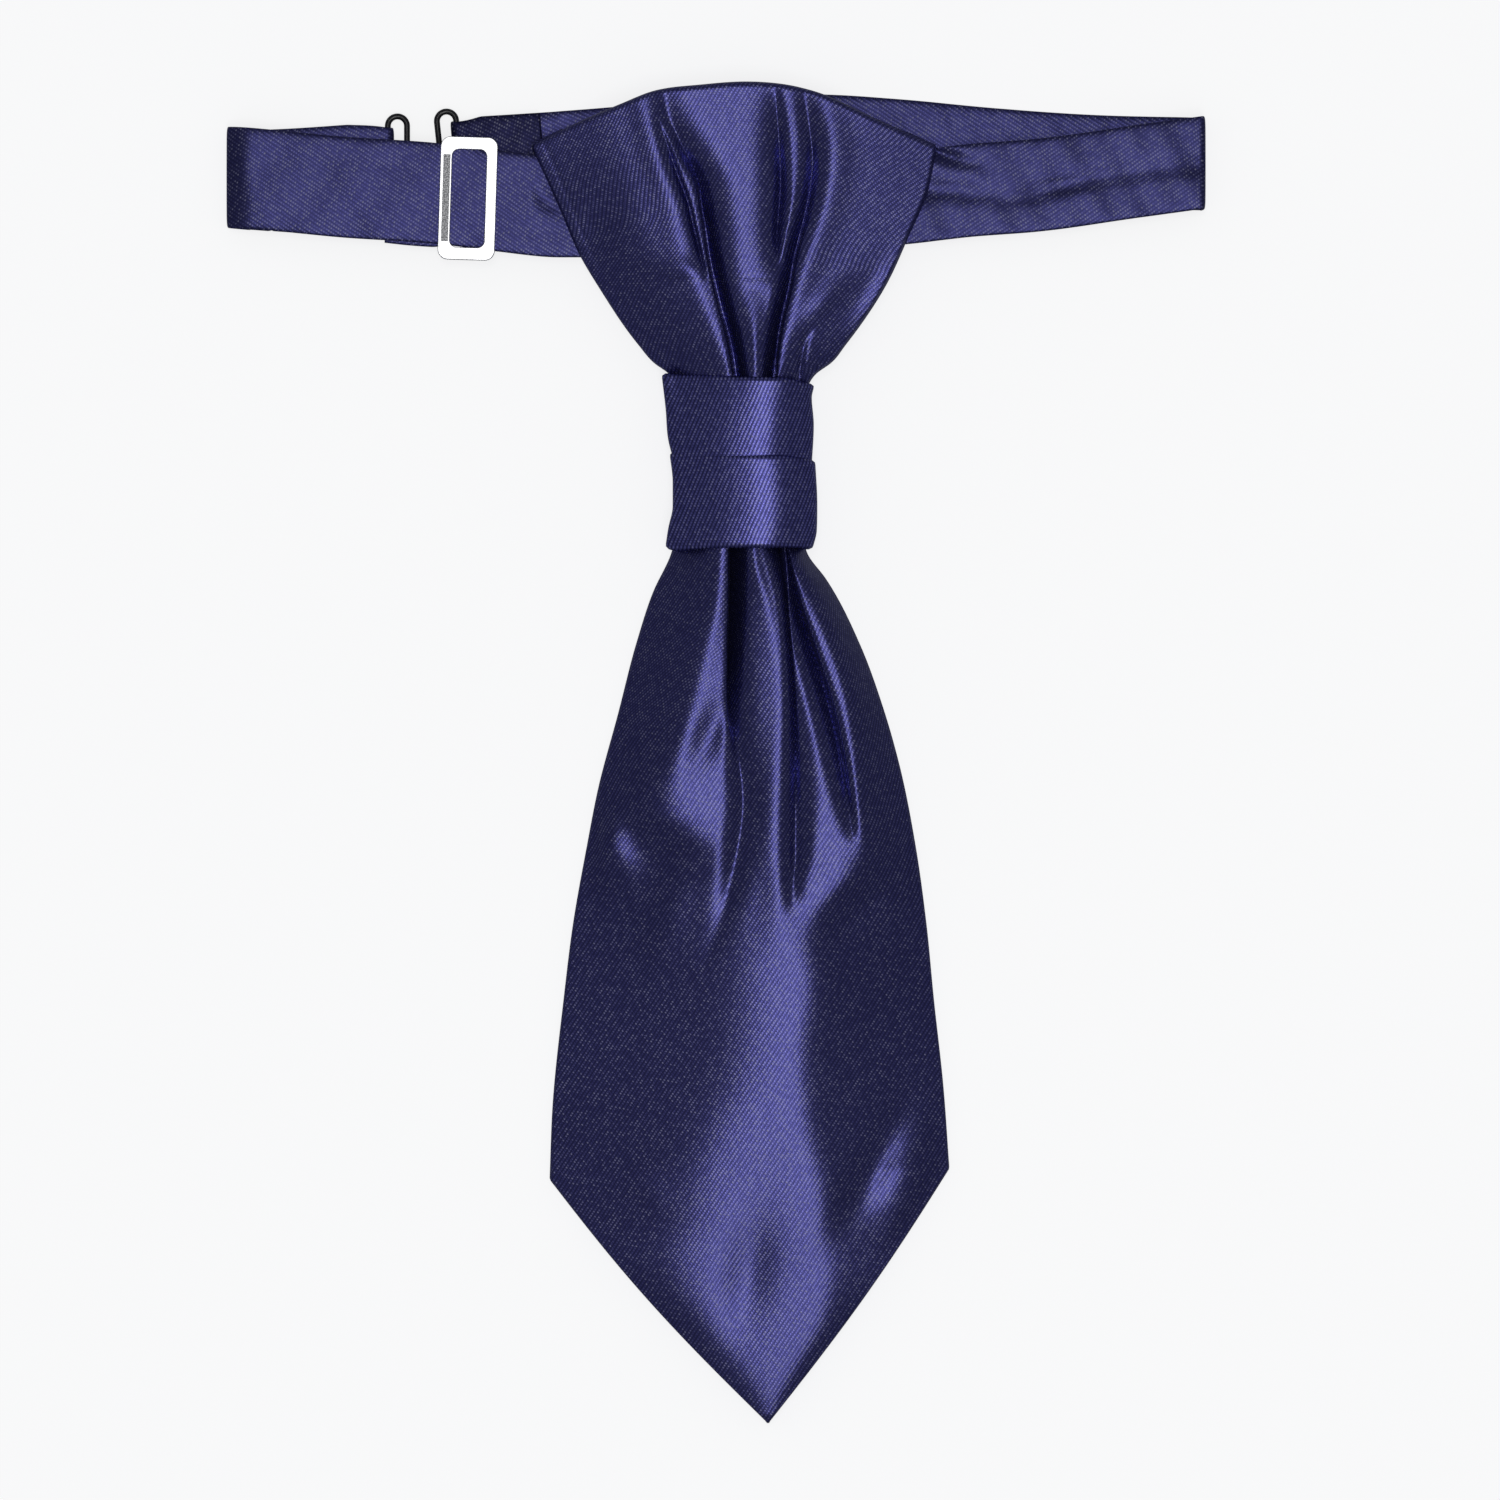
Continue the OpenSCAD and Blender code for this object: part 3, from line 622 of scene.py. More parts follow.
# %% Folds of the blade
# each fold: its kind, then (y, x, width on the left, width on the right, height) down the blade
blade_folds = [
    # the deep furrow left of the middle
    ("furrow", [
        (-12, -0.4, 2.0, 2.1, -8.5), (-18, -0.5, 2.1, 2.2, -8.5), (-28, -0.6, 2.1, 2.3, -8.0),
        (-38, -0.9, 2.0, 2.2, -6.0), (-46, -1.0, 1.9, 2.2, -3.2), (-52, -0.8, 1.9, 2.2, -1.3),
        (-58, -0.4, 1.9, 2.2, -0.3), (-64, 0.0, 2.0, 2.2, 0.0),
    ]),
    # the hollow that it lies in, which runs on down the blade
    ("trough", [
        (-12, -0.4, 2.2, 3.2, -0.6), (-28, -0.6, 2.4, 5.4, -1.0), (-37, -0.9, 2.4, 7.0, -1.2),
        (-46, -1.0, 2.6, 7.4, -1.2), (-56, -0.6, 3.0, 6.8, -1.3), (-68, 0.4, 3.8, 5.8, -1.5),
        (-78, -0.8, 4.4, 6.0, -1.4), (-84, -2.0, 4.6, 5.4, -1.0), (-92, -4.0, 5.0, 5.0, -0.4),
        (-102, -8.0, 5.0, 5.0, 0.0),
    ]),
    # the ridge beside it, which turns away to the left
    ("ridge", [
        (-12, -4.2, 1.8, 1.6, 0.3), (-28, -4.8, 2.2, 1.8, 0.35), (-40, -7.8, 3.0, 3.0, 0.4),
        (-52, -11.2, 3.0, 3.4, 0.4), (-60, -13.4, 4.0, 3.4, 0.3), (-68, -16.0, 4.0, 4.0, 0.1),
        (-74, -19.0, 4.0, 4.0, 0.0),
    ]),
    # the middle ridge
    ("ridge", [
        (-12, 2.2, 1.2, 1.2, 0.3), (-20, 2.6, 1.3, 1.3, 0.35), (-28, 5.0, 1.8, 1.4, 0.2),
        (-37, 6.8, 2.0, 1.5, 0.15), (-50, 7.7, 2.2, 1.6, 0.2), (-60, 7.3, 2.6, 2.0, 0.35),
        (-78, 6.8, 3.0, 2.2, 0.4), (-88, 7.4, 3.2, 2.8, 0.3), (-100, 7.0, 4.0, 4.0, 0.0),
    ]),
    # the furrow right of the middle, a thin crease that widens before it ends
    ("furrow", [
        (-12, 6.2, 2.4, 1.6, -6.5), (-18, 6.9, 2.2, 1.5, -5.0), (-27, 8.3, 1.3, 1.1, -2.6),
        (-36, 9.2, 1.1, 1.0, -1.8), (-48, 10.2, 1.0, 1.0, -1.4), (-58, 10.6, 1.1, 1.2, -0.8),
        (-66, 10.8, 1.3, 1.4, -0.3), (-74, 10.8, 1.4, 1.5, 0.0),
    ]),
    ("trough", [
        (-36, 9.2, 1.4, 2.0, 0.0), (-48, 10.2, 1.6, 4.4, -0.7), (-60, 10.6, 2.0, 5.6, -1.3),
        (-70, 10.9, 2.6, 5.0, -1.6), (-78, 10.9, 2.8, 3.8, -1.6), (-84, 10.4, 2.6, 2.8, -0.8),
        (-90, 10.2, 2.4, 3.0, 0.0),
    ]),
    # the crease that leaves it and runs out to the right
    ("furrow", [
        (-12, 7.6, 1.2, 1.2, -2.0), (-20, 8.9, 1.6, 1.3, -2.4), (-28, 10.8, 1.8, 1.3, -2.0),
        (-37, 13.6, 1.8, 1.3, -1.2), (-48, 17.0, 1.8, 1.3, -0.8), (-59, 19.6, 1.6, 1.2, -0.5),
        (-68, 21.2, 1.4, 1.1, -0.2), (-76, 22.4, 1.4, 1.1, 0.0),
    ]),
    ("trough", [
        (-20, 8.9, 1.8, 1.4, 0.0), (-28, 10.8, 2.6, 1.6, -1.6), (-37, 13.6, 3.8, 1.8, -2.2),
        (-48, 17.0, 4.8, 1.9, -2.2), (-59, 19.6, 4.6, 1.8, -1.8), (-68, 21.2, 3.6, 1.6, -1.1),
        (-76, 22.4, 2.6, 1.6, 0.0),
    ]),
    # the right ridge
    ("ridge", [
        (-12, 10.2, 1.2, 1.6, 0.3), (-19, 11.2, 1.3, 1.8, 0.4), (-26, 14.4, 1.6, 2.0, 0.5),
        (-35, 18.0, 2.2, 2.4, 0.5), (-46, 21.3, 2.2, 2.4, 0.55), (-55, 22.8, 2.2, 2.4, 0.5),
        (-68, 24.0, 1.8, 2.0, 0.4), (-80, 25.0, 2.4, 2.0, 0.0),
    ]),
]
# each soft place: (x, y, length, width, angle, height)
blade_dents = [
    (-5.6, -53.5, 7.0, 2.8, 62, -0.7),
    (-12.0, -66.5, 7.0, 4.0, 20, 0.2),
    (-21.6, -71.0, 6.0, 2.8, -48, -0.6),
    (-27.6, -76.0, 8.0, 5.0, -56, 2.5),
    (-13.5, -89.0, 10.0, 3.8, 72, 0.45),
    (19.0, -80.5, 5.0, 4.0, 20, 0.2),
    (24.5, -88.0, 9.0, 3.2, 45, -0.8),
    (26.0, -142.0, 12.0, 3.4, 62, -0.9),
    (33.6, -143.5, 10.0, 5.0, 68, 0.95),
    (1.6, -162.0, 11.0, 4.6, 82, -0.55),
    (-18.0, -146.0, 4.0, 3.0, -40, 0.15),
    (14.4, -184.6, 9.0, 1.6, 53, -1.3),
]
blade_shapes = [fold(*one) for one in blade_folds] + [dent(*spot) for spot in blade_dents]
# the flat crown lies between these two curves, and the cloth falls away on both sides of it
crown_left = curve([
    (-12, -5.8), (-18, -6.2), (-28, -7.6), (-37, -10.6), (-44, -12.8), (-52, -14.4), (-57, -16.0),
    (-61, -18.4), (-66, -21.4), (-70, -21.0), (-74, -15.0), (-78, -8.0), (-83, -3.0), (-92, -0.6),
    (-104, 0.0), (-118, -0.6), (-126, -2.4), (-133, -6.0), (-141, -9.4), (-152, -12.0), (-160, -14.5),
    (-167, -13.0), (-174, -7.6), (-182, -1.0), (-190, 4.0),
])
crown_soft = curve([(-12, 1.2), (-28, 1.4), (-44, 2.4), (-60, 3.0), (-100, 3.4), (-160, 3.0), (-190, 1.5)])
crown_right = curve([
    (-12, 10.2), (-18, 11.2), (-26, 15.4), (-35, 19.4), (-46, 22.8), (-55, 24.2), (-69, 25.0),
    (-77, 26.0), (-82, 24.0), (-90, 16.5), (-96, 14.4), (-104, 14.8), (-118, 13.0), (-133, 14.0),
    (-145, 16.4), (-160, 18.0), (-172, 17.0), (-180, 13.0), (-190, 7.0),
])
crown_height = curve([
    (-10, 10.5), (-18, 10.4), (-60, 9.3), (-100, 8.7), (-133, 7.8), (-150, 6.8), (-162, 5.9),
    (-187, 4.2), (-192, 3.8),
])
rim_height = curve([(-12, 0.5), (-136, 0.5), (-150, 1.9), (-162, 3.7), (-187, 3.5)])
HEM_Z = 0.45          # height of the turned hem
EDGE_ROUND = 0.5      # radius of the folded edge


def crowned(x, left, right, height, flat, rims, soft, roll=0.6):
    """A flat crown with straight slopes down to both edges, which roll over at the rim.
    flat, rims and soft each hold a value for the left and one for the right."""
    slope_left = (height - rims[0]) / ramp(flat[0] - left, soft[0])
    slope_right = (height - rims[1]) / ramp(right - flat[1], soft[1])
    z = height - slope_left * ramp(flat[0] - x, soft[0]) - slope_right * ramp(x - flat[1], soft[1])
    inside = np.minimum(x - left, right - x)
    rim = np.clip(inside / np.minimum(roll, (right - left) / 3), 0, 1)
    return np.maximum(z, 0.3) * np.sqrt(1 - (1 - rim) ** 2)


def blade_height(x, y, left, right):
    """Height of the blade's satin above its folded edge."""
    flat = (crown_left(y), crown_right(y))
    z = crowned(x, left, right, crown_height(y), flat, [rim_height(y)] * 2, (crown_soft(y), 1.4))
    inside = np.minimum(x - left, right - x)
    folds = relief(x, y, blade_shapes) * smoothstep(0.5, 5.0, inside)
    return np.maximum(z + folds, 0.08 * z)


def blade_push(x, y):
    """The deep furrow is hidden under the left ridge, and the creases right of it under the next."""
    return undercut(x, y, [(blade_folds[0][1], -1.7), (blade_folds[4][1], 0.9), (blade_folds[6][1], 0.9)])


# %% Lay the satin of the blade
def hemmed_rows(y, left, right, height, push, hem, creases, counts, z0=HEM_Z, r=EDGE_ROUND):
    """Rows of a sheet whose two side edges are folded under. Returns points, rows by columns."""
    rows = []
    hem_share = np.linspace(0, 1, 5)[:-1]
    arc = np.linspace(0, 1, 6)[:-1]
    even = np.cumsum(counts)[:-1] / sum(counts)
    for k, yk in enumerate(y):
        l, rgt = left[k], right[k]
        width = rgt - l
        radius = min(r, width / 6)
        turn = min(hem, width * 0.35)
        xs = [l + turn + (radius - turn) * hem_share, l + radius * (1 - np.sin(np.pi * arc))]
        zs = [np.full(4, z0), z0 + radius * (1 - np.cos(np.pi * arc))]
        gone = float(1 - smoothstep(-100, -80, yk))
        places = [
            float(crease(yk)) * (1 - gone) + (l + width * share) * gone
            for crease, share in zip(creases, even)
        ]
        middle = crowded(l + radius, rgt - radius, places, counts)
        xs.append(middle + push(middle, yk))
        zs.append(z0 + 2 * radius + height(middle, yk, l, rgt))
        xs.append(rgt - radius * (1 - np.sin(np.pi * arc[::-1])))
        zs.append(z0 + radius * (1 - np.cos(np.pi * arc[::-1])))
        xs.append(rgt - turn - (radius - turn) * hem_share[::-1])
        zs.append(np.full(4, z0))
        x, z = np.concatenate(xs), np.concatenate(zs)
        rows.append(np.column_stack([x, np.full_like(x, yk), z]))
    return np.array(rows)


blade_rows = np.concatenate([
    np.linspace(blade_top + 5, shoulder_y + 2, 170),
    np.linspace(shoulder_y + 1, blade_tip[1], 90),
])
row_left, row_right = blade_sides(blade_rows)
blade_creases = [curve([(one[0], one[1]) for one in blade_folds[k][1]]) for k in (0, 4, 6)]
blade_points = hemmed_rows(blade_rows, row_left, row_right, blade_height, blade_push, 9.0, blade_creases,
                           (46, 26, 24, 34))
# the shading breaks along the creases, which some columns of the sheet follow
crease_columns = 9 + np.cumsum((46, 26, 24))
crease_marks = on_crease(blade_rows, [blade_folds[0:2], blade_folds[4:6], blade_folds[6:8]], crease_columns,
                         blade_points.shape[1])
blade_cloth = sheet_mesh("blade_satin", blade_points[::-1], sharp=crease_marks[::-1])
thicken(blade_cloth, 0.32)
finish_piece(blade_cloth, blade_satin, replaces=["blade_front"])
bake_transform(blade_cloth)


# %% [markdown]
# ## Inside and behind the blade
# Wool interlining gives the blade its body, and a smooth lining covers the back. The lining
# stops short of the edges, and small slip stitches hold it to the hem.

# %% Interlining and lining of the blade
def inset_sheet(name, y, left, right, gap, z_at, thickness, push=None, columns=60, flip=False):
    """A flat-cut sheet that follows the blade's outline at a distance."""
    rows = []
    for k, yk in enumerate(y):
        l, r = left[k] + gap, right[k] - gap
        if r < l + 0.5:
            l = r = (left[k] + right[k]) / 2
            l, r = l - 0.25, r + 0.25
        x = l + (r - l) * np.linspace(0, 1, columns)
        z = z_at(x, yk, left[k], right[k])
        rows.append(np.column_stack([x + (push(x, yk) if push else 0), np.full_like(x, yk), z]))
    piece = sheet_mesh(name, np.array(rows)[::-1], flip=flip)
    thicken(piece, thickness)
    return piece


def lowest_near(height, x, y, left, right, reach):
    """The lowest the sheet comes within reach of each point, for what lies under it and clears its creases."""
    steps = np.linspace(-reach, reach, 17)
    return np.min([height(np.clip(x + d, left, right), y, left, right) for d in steps], axis=0)


def felt_height(x, y, left, right):
    return HEM_Z + 2 * EDGE_ROUND + np.maximum(lowest_near(blade_height, x, y, left, right, 2.0) - 0.9, 0.02)


felt_rows = np.concatenate([np.linspace(blade_top - 1, shoulder_y, 90),
                            np.linspace(shoulder_y - 1, blade_tip[1] + 5, 50)])
felt_left, felt_right = blade_sides(felt_rows)
blade_felt = inset_sheet("blade_wool_interlining", felt_rows, felt_left, felt_right, 2.2, felt_height, 0.5,
                         push=blade_push, columns=110)
finish_piece(blade_felt, felt_cloth, "blade", ["blade_interlining"])


def lining_height(x, y, left, right):
    puff = 0.16 * np.sin(x * 0.31 + y * 0.05) * np.sin(y * 0.11) + 0.05 * np.sin(x * 0.9 - y * 0.23)
    return 0.24 + 0.5 * puff * puff + np.abs(puff) * 0.3


lining_rows = np.concatenate([np.linspace(blade_top - 0.5, shoulder_y, 90),
                              np.linspace(shoulder_y - 1, blade_tip[1] + 4, 50)])
lining_left, lining_right = blade_sides(lining_rows)
blade_lining = inset_sheet("blade_lining_cloth", lining_rows, lining_left, lining_right, 3.2, lining_height,
                           0.2, flip=True)
finish_piece(blade_lining, lining_cloth, "blade", ["blade_lining"])

# %% Slip stitches round the lining
slips = []
for y in np.arange(blade_top - 4, blade_tip[1] + 14, -3.4):
    left, right = (float(v) for v in blade_sides(y))
    for edge, side in ((left + 3.2, 1), (right - 3.2, -1)):
        slips.append(((edge + side * 0.5, y, 0.14), (edge - side * 0.7, y - 1.2, 0.16), (0, 0, -1)))
slip_stitches = stitches("blade_slip_stitches", slips, 0.22)
finish_piece(slip_stitches, navy_thread, "blade", ["blade_lining_stitches"])


# %% [markdown]
# ## The fan
# The fan is one length of satin, folded over at its arched top edge so that it makes the
# casing for the strap, and gathered into the knot at its foot. Front and back are therefore
# one sheet: the rows run up the back, over the fold and down the front.

# %% Outline and folds of the fan
fan_foot = box_mm("fan_front")[0][1]
fan_left = curve([
    (fan_foot - 8, -12.6), (fan_foot, -14.4), (19.8, -17.4), (23.5, -20.6), (34.5, -28.2), (41.2, -32.2),
    (50, -36.0), (63.4, -41.8),
])
fan_right = curve([
    (fan_foot - 8, 12.4), (fan_foot, 14.9), (19.8, 18.0), (23.5, 21.0), (35.0, 28.8), (44.9, 33.4),
    (54.0, 37.2), (63.0, 39.0),
])
fan_top = curve([
    (-41.8, 63.4), (-33, 67.6), (-24, 71.4), (-17.6, 73.9), (-8, 75.2), (0.8, 75.8), (10.6, 74.9),
    (14.2, 74.0), (27, 68.4), (39.0, 63.0),
])
fan_folds = [
    # the left furrow
    ("furrow", [
        (12, 0.6, 1.8, 1.8, -6.0), (18, 0.0, 2.0, 1.8, -5.8), (24, -1.0, 2.1, 1.9, -5.2),
        (31, -2.9, 2.0, 2.0, -4.8), (39, -4.8, 1.9, 2.1, -4.2), (49, -6.4, 1.8, 2.2, -3.2),
        (56, -7.8, 2.0, 2.4, -1.8), (62, -11.0, 2.2, 2.6, -0.6), (68, -14.0, 2.4, 2.6, 0.0),
    ]),
    # the hollow on its right
    ("trough", [
        (12, 0.6, 1.8, 2.2, 0.0), (24, -1.0, 2.0, 3.4, -0.6), (39, -4.8, 2.0, 5.6, -1.2),
        (49, -6.4, 2.0, 6.6, -1.4), (56, -7.8, 2.4, 7.0, -1.4), (62, -11.0, 3.0, 7.6, -1.3),
        (68, -14.0, 3.4, 7.0, -0.8), (75, -15.5, 3.4, 6.0, -0.2),
    ]),
    # the narrow furrow beside it, so that a thin pleat stands between them
    ("furrow", [
        (36, -6.8, 0.9, 0.8, 0.0), (41, -8.3, 1.0, 0.9, -1.2), (46, -9.6, 1.1, 1.0, -1.9),
        (52, -11.0, 1.3, 1.0, -1.8), (57, -12.8, 1.5, 1.1, -1.4), (63, -14.8, 1.7, 1.2, -0.7),
        (69, -16.8, 1.8, 1.4, 0.0),
    ]),
    # the ridge on its left
    ("ridge", [
        (12, -2.8, 2.2, 1.4, 0.1), (18, -3.0, 2.4, 1.4, 0.2), (25.5, -5.2, 2.8, 2.0, 0.3),
        (33, -8.0, 3.2, 2.4, 0.3), (42, -11.6, 3.2, 2.4, 0.3), (51, -13.6, 3.2, 2.0, 0.35),
        (59, -16.4, 2.8, 2.0, 0.4), (66, -18.2, 2.8, 2.2, 0.4), (74, -20.0, 3.0, 2.6, 0.3),
    ]),
    # the right furrow
    ("furrow", [
        (12, 5.4, 1.7, 1.7, -5.8), (19, 5.7, 1.9, 1.8, -5.4), (27, 6.7, 1.9, 2.0, -4.6),
        (35, 8.5, 1.9, 2.1, -3.7), (42, 9.8, 1.8, 2.1, -2.7), (49, 12.0, 1.7, 2.1, -1.7),
        (54, 13.2, 1.8, 2.2, -1.2), (61, 14.0, 1.9, 2.2, -0.7), (68, 13.2, 2.2, 2.4, -0.2),
        (73, 12.6, 2.2, 2.4, 0.0),
    ]),
    # the hollow on its right
    ("trough", [
        (30, 7.4, 2.0, 3.0, 0.0), (42, 9.8, 2.0, 4.4, -0.7), (54, 13.2, 2.2, 5.0, -1.1),
        (64, 13.8, 2.4, 5.0, -1.0), (75, 12.4, 2.8, 4.6, -0.2),
    ]),
    # the narrow furrow on its left
    ("furrow", [
        (38, 7.4, 1.4, 1.0, 0.0), (44, 7.4, 1.7, 1.0, -1.0), (49, 7.8, 1.9, 1.1, -1.4),
        (56, 8.2, 2.0, 1.2, -1.2), (62, 7.9, 2.2, 1.4, -0.8), (70, 7.2, 2.4, 1.8, -0.2),
        (74, 6.8, 2.4, 1.8, 0.0),
    ]),
    # the hollow on its left
    ("trough", [
        (34, 7.0, 3.0, 1.4, 0.0), (44, 7.4, 5.4, 1.6, -1.0), (54, 8.1, 6.4, 1.8, -1.3),
        (64, 7.7, 6.4, 2.0, -1.0), (75, 6.6, 5.4, 2.0, -0.2),
    ]),
    # the ridge on the far right
    ("ridge", [
        (12, 8.4, 1.4, 1.8, 0.2), (19, 8.6, 1.5, 2.0, 0.3), (35, 12.0, 1.8, 3.0, 0.35),
        (52, 17.2, 2.4, 3.4, 0.35), (61, 18.4, 2.4, 3.4, 0.35), (75, 16.4, 2.4, 2.6, 0.0),
    ]),
    # the narrow ridge between the furrows at the knot
    ("ridge", [
        (12, 2.9, 1.3, 1.3, 0.5), (19, 2.9, 1.3, 1.3, 0.5), (27, 2.7, 1.8, 1.8, 0.4),
        (34, 2.4, 2.4, 2.4, 0.0),
    ]),
    # a short tuck at the knot on the right
    ("furrow", [
        (14, 11.4, 1.1, 1.1, -1.4), (19, 11.8, 1.1, 1.1, -1.2), (24, 12.8, 1.1, 1.2, -0.5),
        (27, 14.2, 1.2, 1.3, 0.0),
    ]),
]
fan_dents = [
    (-12.0, 38.2, 6.0, 2.2, -8, 0.4),
    (16.0, 31.5, 6.0, 2.2, 48, 0.5),
    (27.0, 34.0, 8.0, 3.0, 52, -0.4),
    (-31.0, 44.0, 9.0, 4.0, 60, -0.25),
]
fan_shapes = [fold(*one) for one in fan_folds] + [dent(*spot) for spot in fan_dents]
SEAM_Y = 36.4
FAN_EDGE_Z = 6.1
fan_crown_left = curve([
    (12, -4.6), (18, -5.6), (25.5, -9.0), (33, -12.6), (42, -18.0), (51, -20.4), (59, -22.0),
    (66, -23.2), (76, -24.6),
])
fan_crown_right = curve([
    (12, 8.0), (19, 8.4), (24, 10.0), (35, 14.0), (43, 17.0), (52, 20.0), (61, 22.0), (76, 24.0),
])
fan_crown = curve([(12, 6.2), (18, 6.0), (36, 5.4), (56, 4.8), (76, 4.2)])
fan_rim_left = curve([(12, 0.3), (30, 0.5), (50, 0.8), (76, 0.9)])
fan_rim_right = curve([(12, 0.8), (22, 2.4), (35, 3.7), (55, 3.2), (76, 2.6)])


def fan_push(x, y):
    leans = [(0, -1.1), (2, 0.5), (4, 1.1), (6, -0.6)]
    return undercut(x, y, [(fan_folds[k][1], lean) for k, lean in leans])


def fan_height(x, y, left, right):
    """Height of the fan's front above its folded edges."""
    flat = (fan_crown_left(y), fan_crown_right(y))
    z = crowned(x, left, right, fan_crown(y), flat, (fan_rim_left(y), fan_rim_right(y)), (2.8, 3.0))
    inside = np.minimum(x - left, right - x)
    folds = relief(x, y, fan_shapes) * smoothstep(0.5, 5.0, inside)
    seam = -0.05 * np.exp(-(((y - SEAM_Y) / 0.4) ** 2)) * smoothstep(-19, -13, x) * (1 - smoothstep(7, 11, x))
    topstitch = -0.07 * np.exp(-(((x - left - 2.3) / 0.28) ** 2))
    return np.maximum(z + folds + seam + topstitch, 0.1 * z)


# %% Lay the satin of the fan
FAN_BACK_Z = 4.25


# creases from left to right, which the columns of the sheet follow
fan_lines = [curve([(one[0], one[1]) for one in fan_folds[k][1]]) for k in (2, 0, 6, 4)]


def fan_shares(y_at, left, right, counts=(44, 18, 26, 18, 44)):
    """Shares of the fan's width, crowded at its creases. y_at gives a row's height at x."""
    places = []
    for line in fan_lines:
        x = 0.0
        for _ in range(4):
            x = float(line(y_at(x)))
        places.append(x)
    places[0] = min(places[0], places[1] - 0.7)
    places[2] = min(places[2], places[3] - 0.7)
    return (crowded(left, right, places, counts) - left) / (right - left)


def fan_point_rows(hem=6.0, r=0.4):
    """Rows of the whole sheet, from the foot of the back, over the top fold, to the foot of the front."""
    top_share = fan_shares(lambda x: float(fan_top(x)), -41.8, 39.0)
    hem_share = np.linspace(0, 1, 5)[:-1]
    arc = np.linspace(0, 1, 5)[:-1]
    rows = []
    front_t = np.linspace(0, 1, 140)

    def row(t, side):
        """One row at share t of the way up; side is 1 on the front and -1 on the back."""
        foot = fan_foot - 5
        y_side = foot + t * (63.2 - foot)
        left, right = float(fan_left(y_side)), float(fan_right(y_side))
        edge_y = y_side - 0.9 * t ** 6
        share = top_share
        if side > 0:
            y_at = lambda px: edge_y + (float(fan_top(-41.8 + (px - left) / (right - left) * 80.8))
                                        - 63.2) * t ** 1.6
            share = fan_shares(y_at, left, right) * (1 - t ** 12) + top_share * t ** 12
        x = left + r + (right - left - 2 * r) * share
        rise = fan_top(-41.8 + (x - left) / (right - left) * (39.0 + 41.8)) - 63.2
        y = edge_y + rise * t ** 1.6
        turn = min(hem, (right - left) * 0.2)
        left_hem = left + turn + (r - turn) * hem_share
        left_arc = left + r * (1 - np.sin(np.pi * arc))
        right_arc = right - r * (1 - np.sin(np.pi * arc[::-1]))
        right_hem = right - turn - (r - turn) * hem_share[::-1]
        xs = np.concatenate([left_hem, left_arc, x, right_arc, right_hem])
        hem_y = lambda hx: edge_y + (fan_top(-41.8 + (hx - left) / (right - left) * 80.8) - 63.2) * t ** 1.6
        ys = np.concatenate([hem_y(left_hem), hem_y(left_arc), y, hem_y(right_arc), hem_y(right_hem)])
        arc_z = r * (1 - np.cos(np.pi * arc))
        if side > 0:
            body = 2 * r + fan_height(x, y, left, right)
            xs[len(hem_share) + len(arc):-len(hem_share) - len(arc)] += fan_push(x, y)
            zs = FAN_EDGE_Z - 2 * r + np.concatenate([np.zeros(4), arc_z, body, arc_z[::-1], np.zeros(4)])
        else:
            zs = FAN_BACK_Z + 2 * r - np.concatenate([np.zeros(4), arc_z, np.full(len(x), 2 * r),
                                                      arc_z[::-1], np.zeros(4)])
        return np.column_stack([xs, ys, zs])

    back = [row(t, -1) for t in front_t]
    front = [row(t, 1) for t in front_t]
    over = []
    low, high = back[-1], front[-1]
    for a in np.linspace(0, math.pi, 15)[1:-1]:
        share_up = (1 - math.cos(a)) / 2
        ring = low * (1 - share_up) + high * share_up
        ring[:, 1] += math.sin(a) * 1.0
        over.append(ring)
    return np.array(back + over + front[::-1])


fan_points = fan_point_rows()
front_rows = len(fan_points) - 140
crease_columns = 8 + np.cumsum((44, 18, 26, 18))
front_y = fan_points[front_rows:, crease_columns[1], 1]
fan_marks = np.zeros(fan_points.shape[:2], bool)
fan_marks[front_rows:] = on_crease(front_y, [fan_folds[2:3], fan_folds[0:2], fan_folds[6:8], fan_folds[4:6]],
                                   crease_columns,
                                   fan_points.shape[1])
fan_cloth = sheet_mesh("fan_satin", fan_points, flip=True, sharp=fan_marks)
thicken(fan_cloth, 0.3)
finish_piece(fan_cloth, fan_satin, "cravat", ["fan_front", "fan_back"])


# %% Interlining of the fan
def fan_felt():
    rows = []
    for t in np.linspace(0.06, 0.93, 60):
        foot = fan_foot - 5
        y_side = foot + t * (63.2 - foot)
        left, right = float(fan_left(y_side)), float(fan_right(y_side))
        x = left + 2.5 + (right - left - 5) * np.linspace(0, 1, 70)
        y = y_side + (fan_top(-41.8 + (x - left) / (right - left) * 80.8) - 63.2) * t ** 1.6
        z = FAN_EDGE_Z + np.maximum(lowest_near(fan_height, x, y, left, right, 2.0) - 0.6, -0.2)
        rows.append(np.column_stack([x + fan_push(x, y), y, z]))
    piece = sheet_mesh("fan_wool_interlining", np.array(rows))
    thicken(piece, 0.35)
    return piece


felt = fan_felt()
finish_piece(felt, felt_cloth, "cravat", ["fan_interlining"])

# %% Seam of the casing
seam_spots = []
for x in np.arange(-14.5, 8.5, 1.5):
    left, right = float(fan_left(SEAM_Y)), float(fan_right(SEAM_Y))
    z = [FAN_EDGE_Z + float(fan_height(np.array([px]), SEAM_Y, left, right)[0]) + 0.02 for px in (x, x + 1.0)]
    seam_spots.append(((x, SEAM_Y, z[0]), (x + 1.0, SEAM_Y, z[1]), (0, 0, 1)))
casing_seam = stitches("fan_casing_stitches", seam_spots, 0.14)
finish_piece(casing_seam, navy_thread, "cravat", ["casing_stitches"])


# %% [markdown]
# ## The knot
# The knot is a band of folded satin wound twice round the gathered cloth. Each turn is a
# flattened oval that leans a little, and its two long edges are folded in. The second turn
# lies over the lower edge of the first, so it stands a little proud of it.

